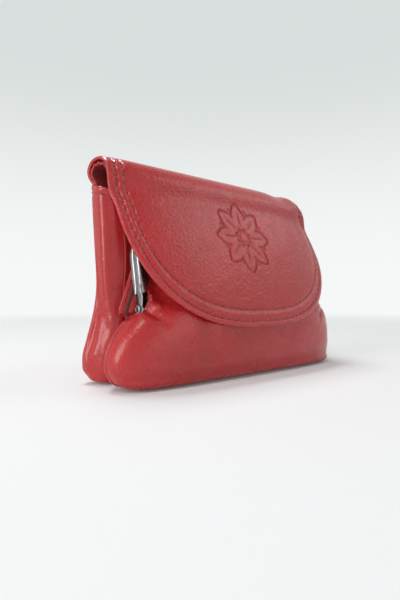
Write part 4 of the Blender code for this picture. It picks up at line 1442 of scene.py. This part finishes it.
# %% Model one stitch
fresh()
bpy.ops.mesh.primitive_uv_sphere_add(segments=8, ring_count=6, radius=1)
one_stitch = just_added("one_stitch")
half_length, half_width, half_height, ends_down = 1.35, 0.25, 0.2, 0.34 * MM
for vertex in one_stitch.data.vertices:
    x, y, z = vertex.co
    vertex.co = (z * half_length * MM, y * half_width * MM, x * half_height * MM - ends_down * z**4)
bpy.ops.object.shade_smooth()
print("one stitch:", len(one_stitch.data.polygons), "faces")


# %% Copy it along a seam
STITCH_LIFT = 0.03 * MM


def sew(name, rows, surface):
    """Stitches at places and directions along rows, lying on a surface."""
    made = []
    for places, ways in rows:
        for place, way in zip(places, ways):
            _, spot, facing, _ = surface.closest_point_on_mesh(Vector(place))
            ahead = Vector(way)
            ahead = (ahead - facing * ahead.dot(facing)).normalized()
            turn = Matrix((ahead, facing.cross(ahead), facing)).transposed().to_4x4()
            copy = one_stitch.copy()
            copy.data = one_stitch.data.copy()
            scene.collection.objects.link(copy)
            copy.matrix_world = Matrix.Translation(spot + facing * STITCH_LIFT) @ turn
            made.append(copy)
    fresh()
    for copy in made:
        copy.select_set(True)
    bpy.context.view_layer.objects.active = made[0]
    bpy.ops.object.join()
    seam = settle(just_added(name))
    remember(seam)
    finish_piece(seam, THREAD_FINISH)
    print(name, len(made), "stitches")
    return seam


# %% Places of stitches inside an edge
def level_with(border, line, start, end):
    """Places on a line level with every half pitch along its border, and the line's direction there."""
    runs, step = runs_of(border), STITCH_PITCH / 4
    numbers = np.arange(math.ceil(start / STITCH_PITCH), math.floor(end / STITCH_PITCH))
    wanted = (numbers + 0.5) * STITCH_PITCH
    return along(line, runs, wanted), along(line, runs, wanted + step) - along(line, runs, wanted - step)


def inside_edge(points, facing, distance):
    """The line on a skin that lies a distance in from its two sides and its far end."""
    border, facing = border_of(points), border_of(facing)
    ways = np.gradient(border, axis=0)
    for _ in range(6):
        ways[1:-1] = (ways[:-2] + ways[1:-1] + ways[2:]) / 3
    inward = np.cross(facing, ways)
    inward /= np.maximum(np.linalg.norm(inward, axis=1, keepdims=True), 1e-12)
    start = len(points) // 2
    to_middle = points[start, points.shape[1] // 2] - border[start]
    if to_middle @ inward[start] < 0:
        inward = -inward
    return border + inward * np.reshape(distance, (-1, 1))


SEAM_FROM = 77.5 * MM
first, border_runs = first_row_above(SEAM_FROM), runs_of(FLAP_BORDER)
seam_start, seam_end = border_runs[first], border_runs[-1] - border_runs[first]
flap_rows = []
for distance in rows_at(FLAP_BORDER):
    line = inside_edge(BACK_AND_FLAP, FLAP_FACING, distance)
    flap_rows.append(level_with(FLAP_BORDER, line, seam_start, seam_end))
flap_seam = sew("flap_stitching", flap_rows, back_and_flap)
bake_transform(flap_seam)

# %% Stitches along the pocket's top edges
for name, (surface, skin) in (
    ("left_gusset_stitching", LEFT_GUSSET),
    ("right_gusset_stitching", RIGHT_GUSSET),
    ("divider_stitching", DIVIDER),
):
    line = skin[-1, 1:-1] - [0, 0, 3 * MM]
    seam = sew(name, [level_with(line, line, 0, runs_of(line)[-1])], surface)
    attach(seam, "purse")
bpy.data.objects.remove(one_stitch)

# %% [markdown]
# ## The sizes
# The size of the dressed purse is printed beside the size of the imported one.

# %% Print both sizes
new_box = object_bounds()
for word, (low, high) in (("packed", cad_box), ("dressed", new_box)):
    print(word, [round(value / MM, 1) for value in (*low, *high)])
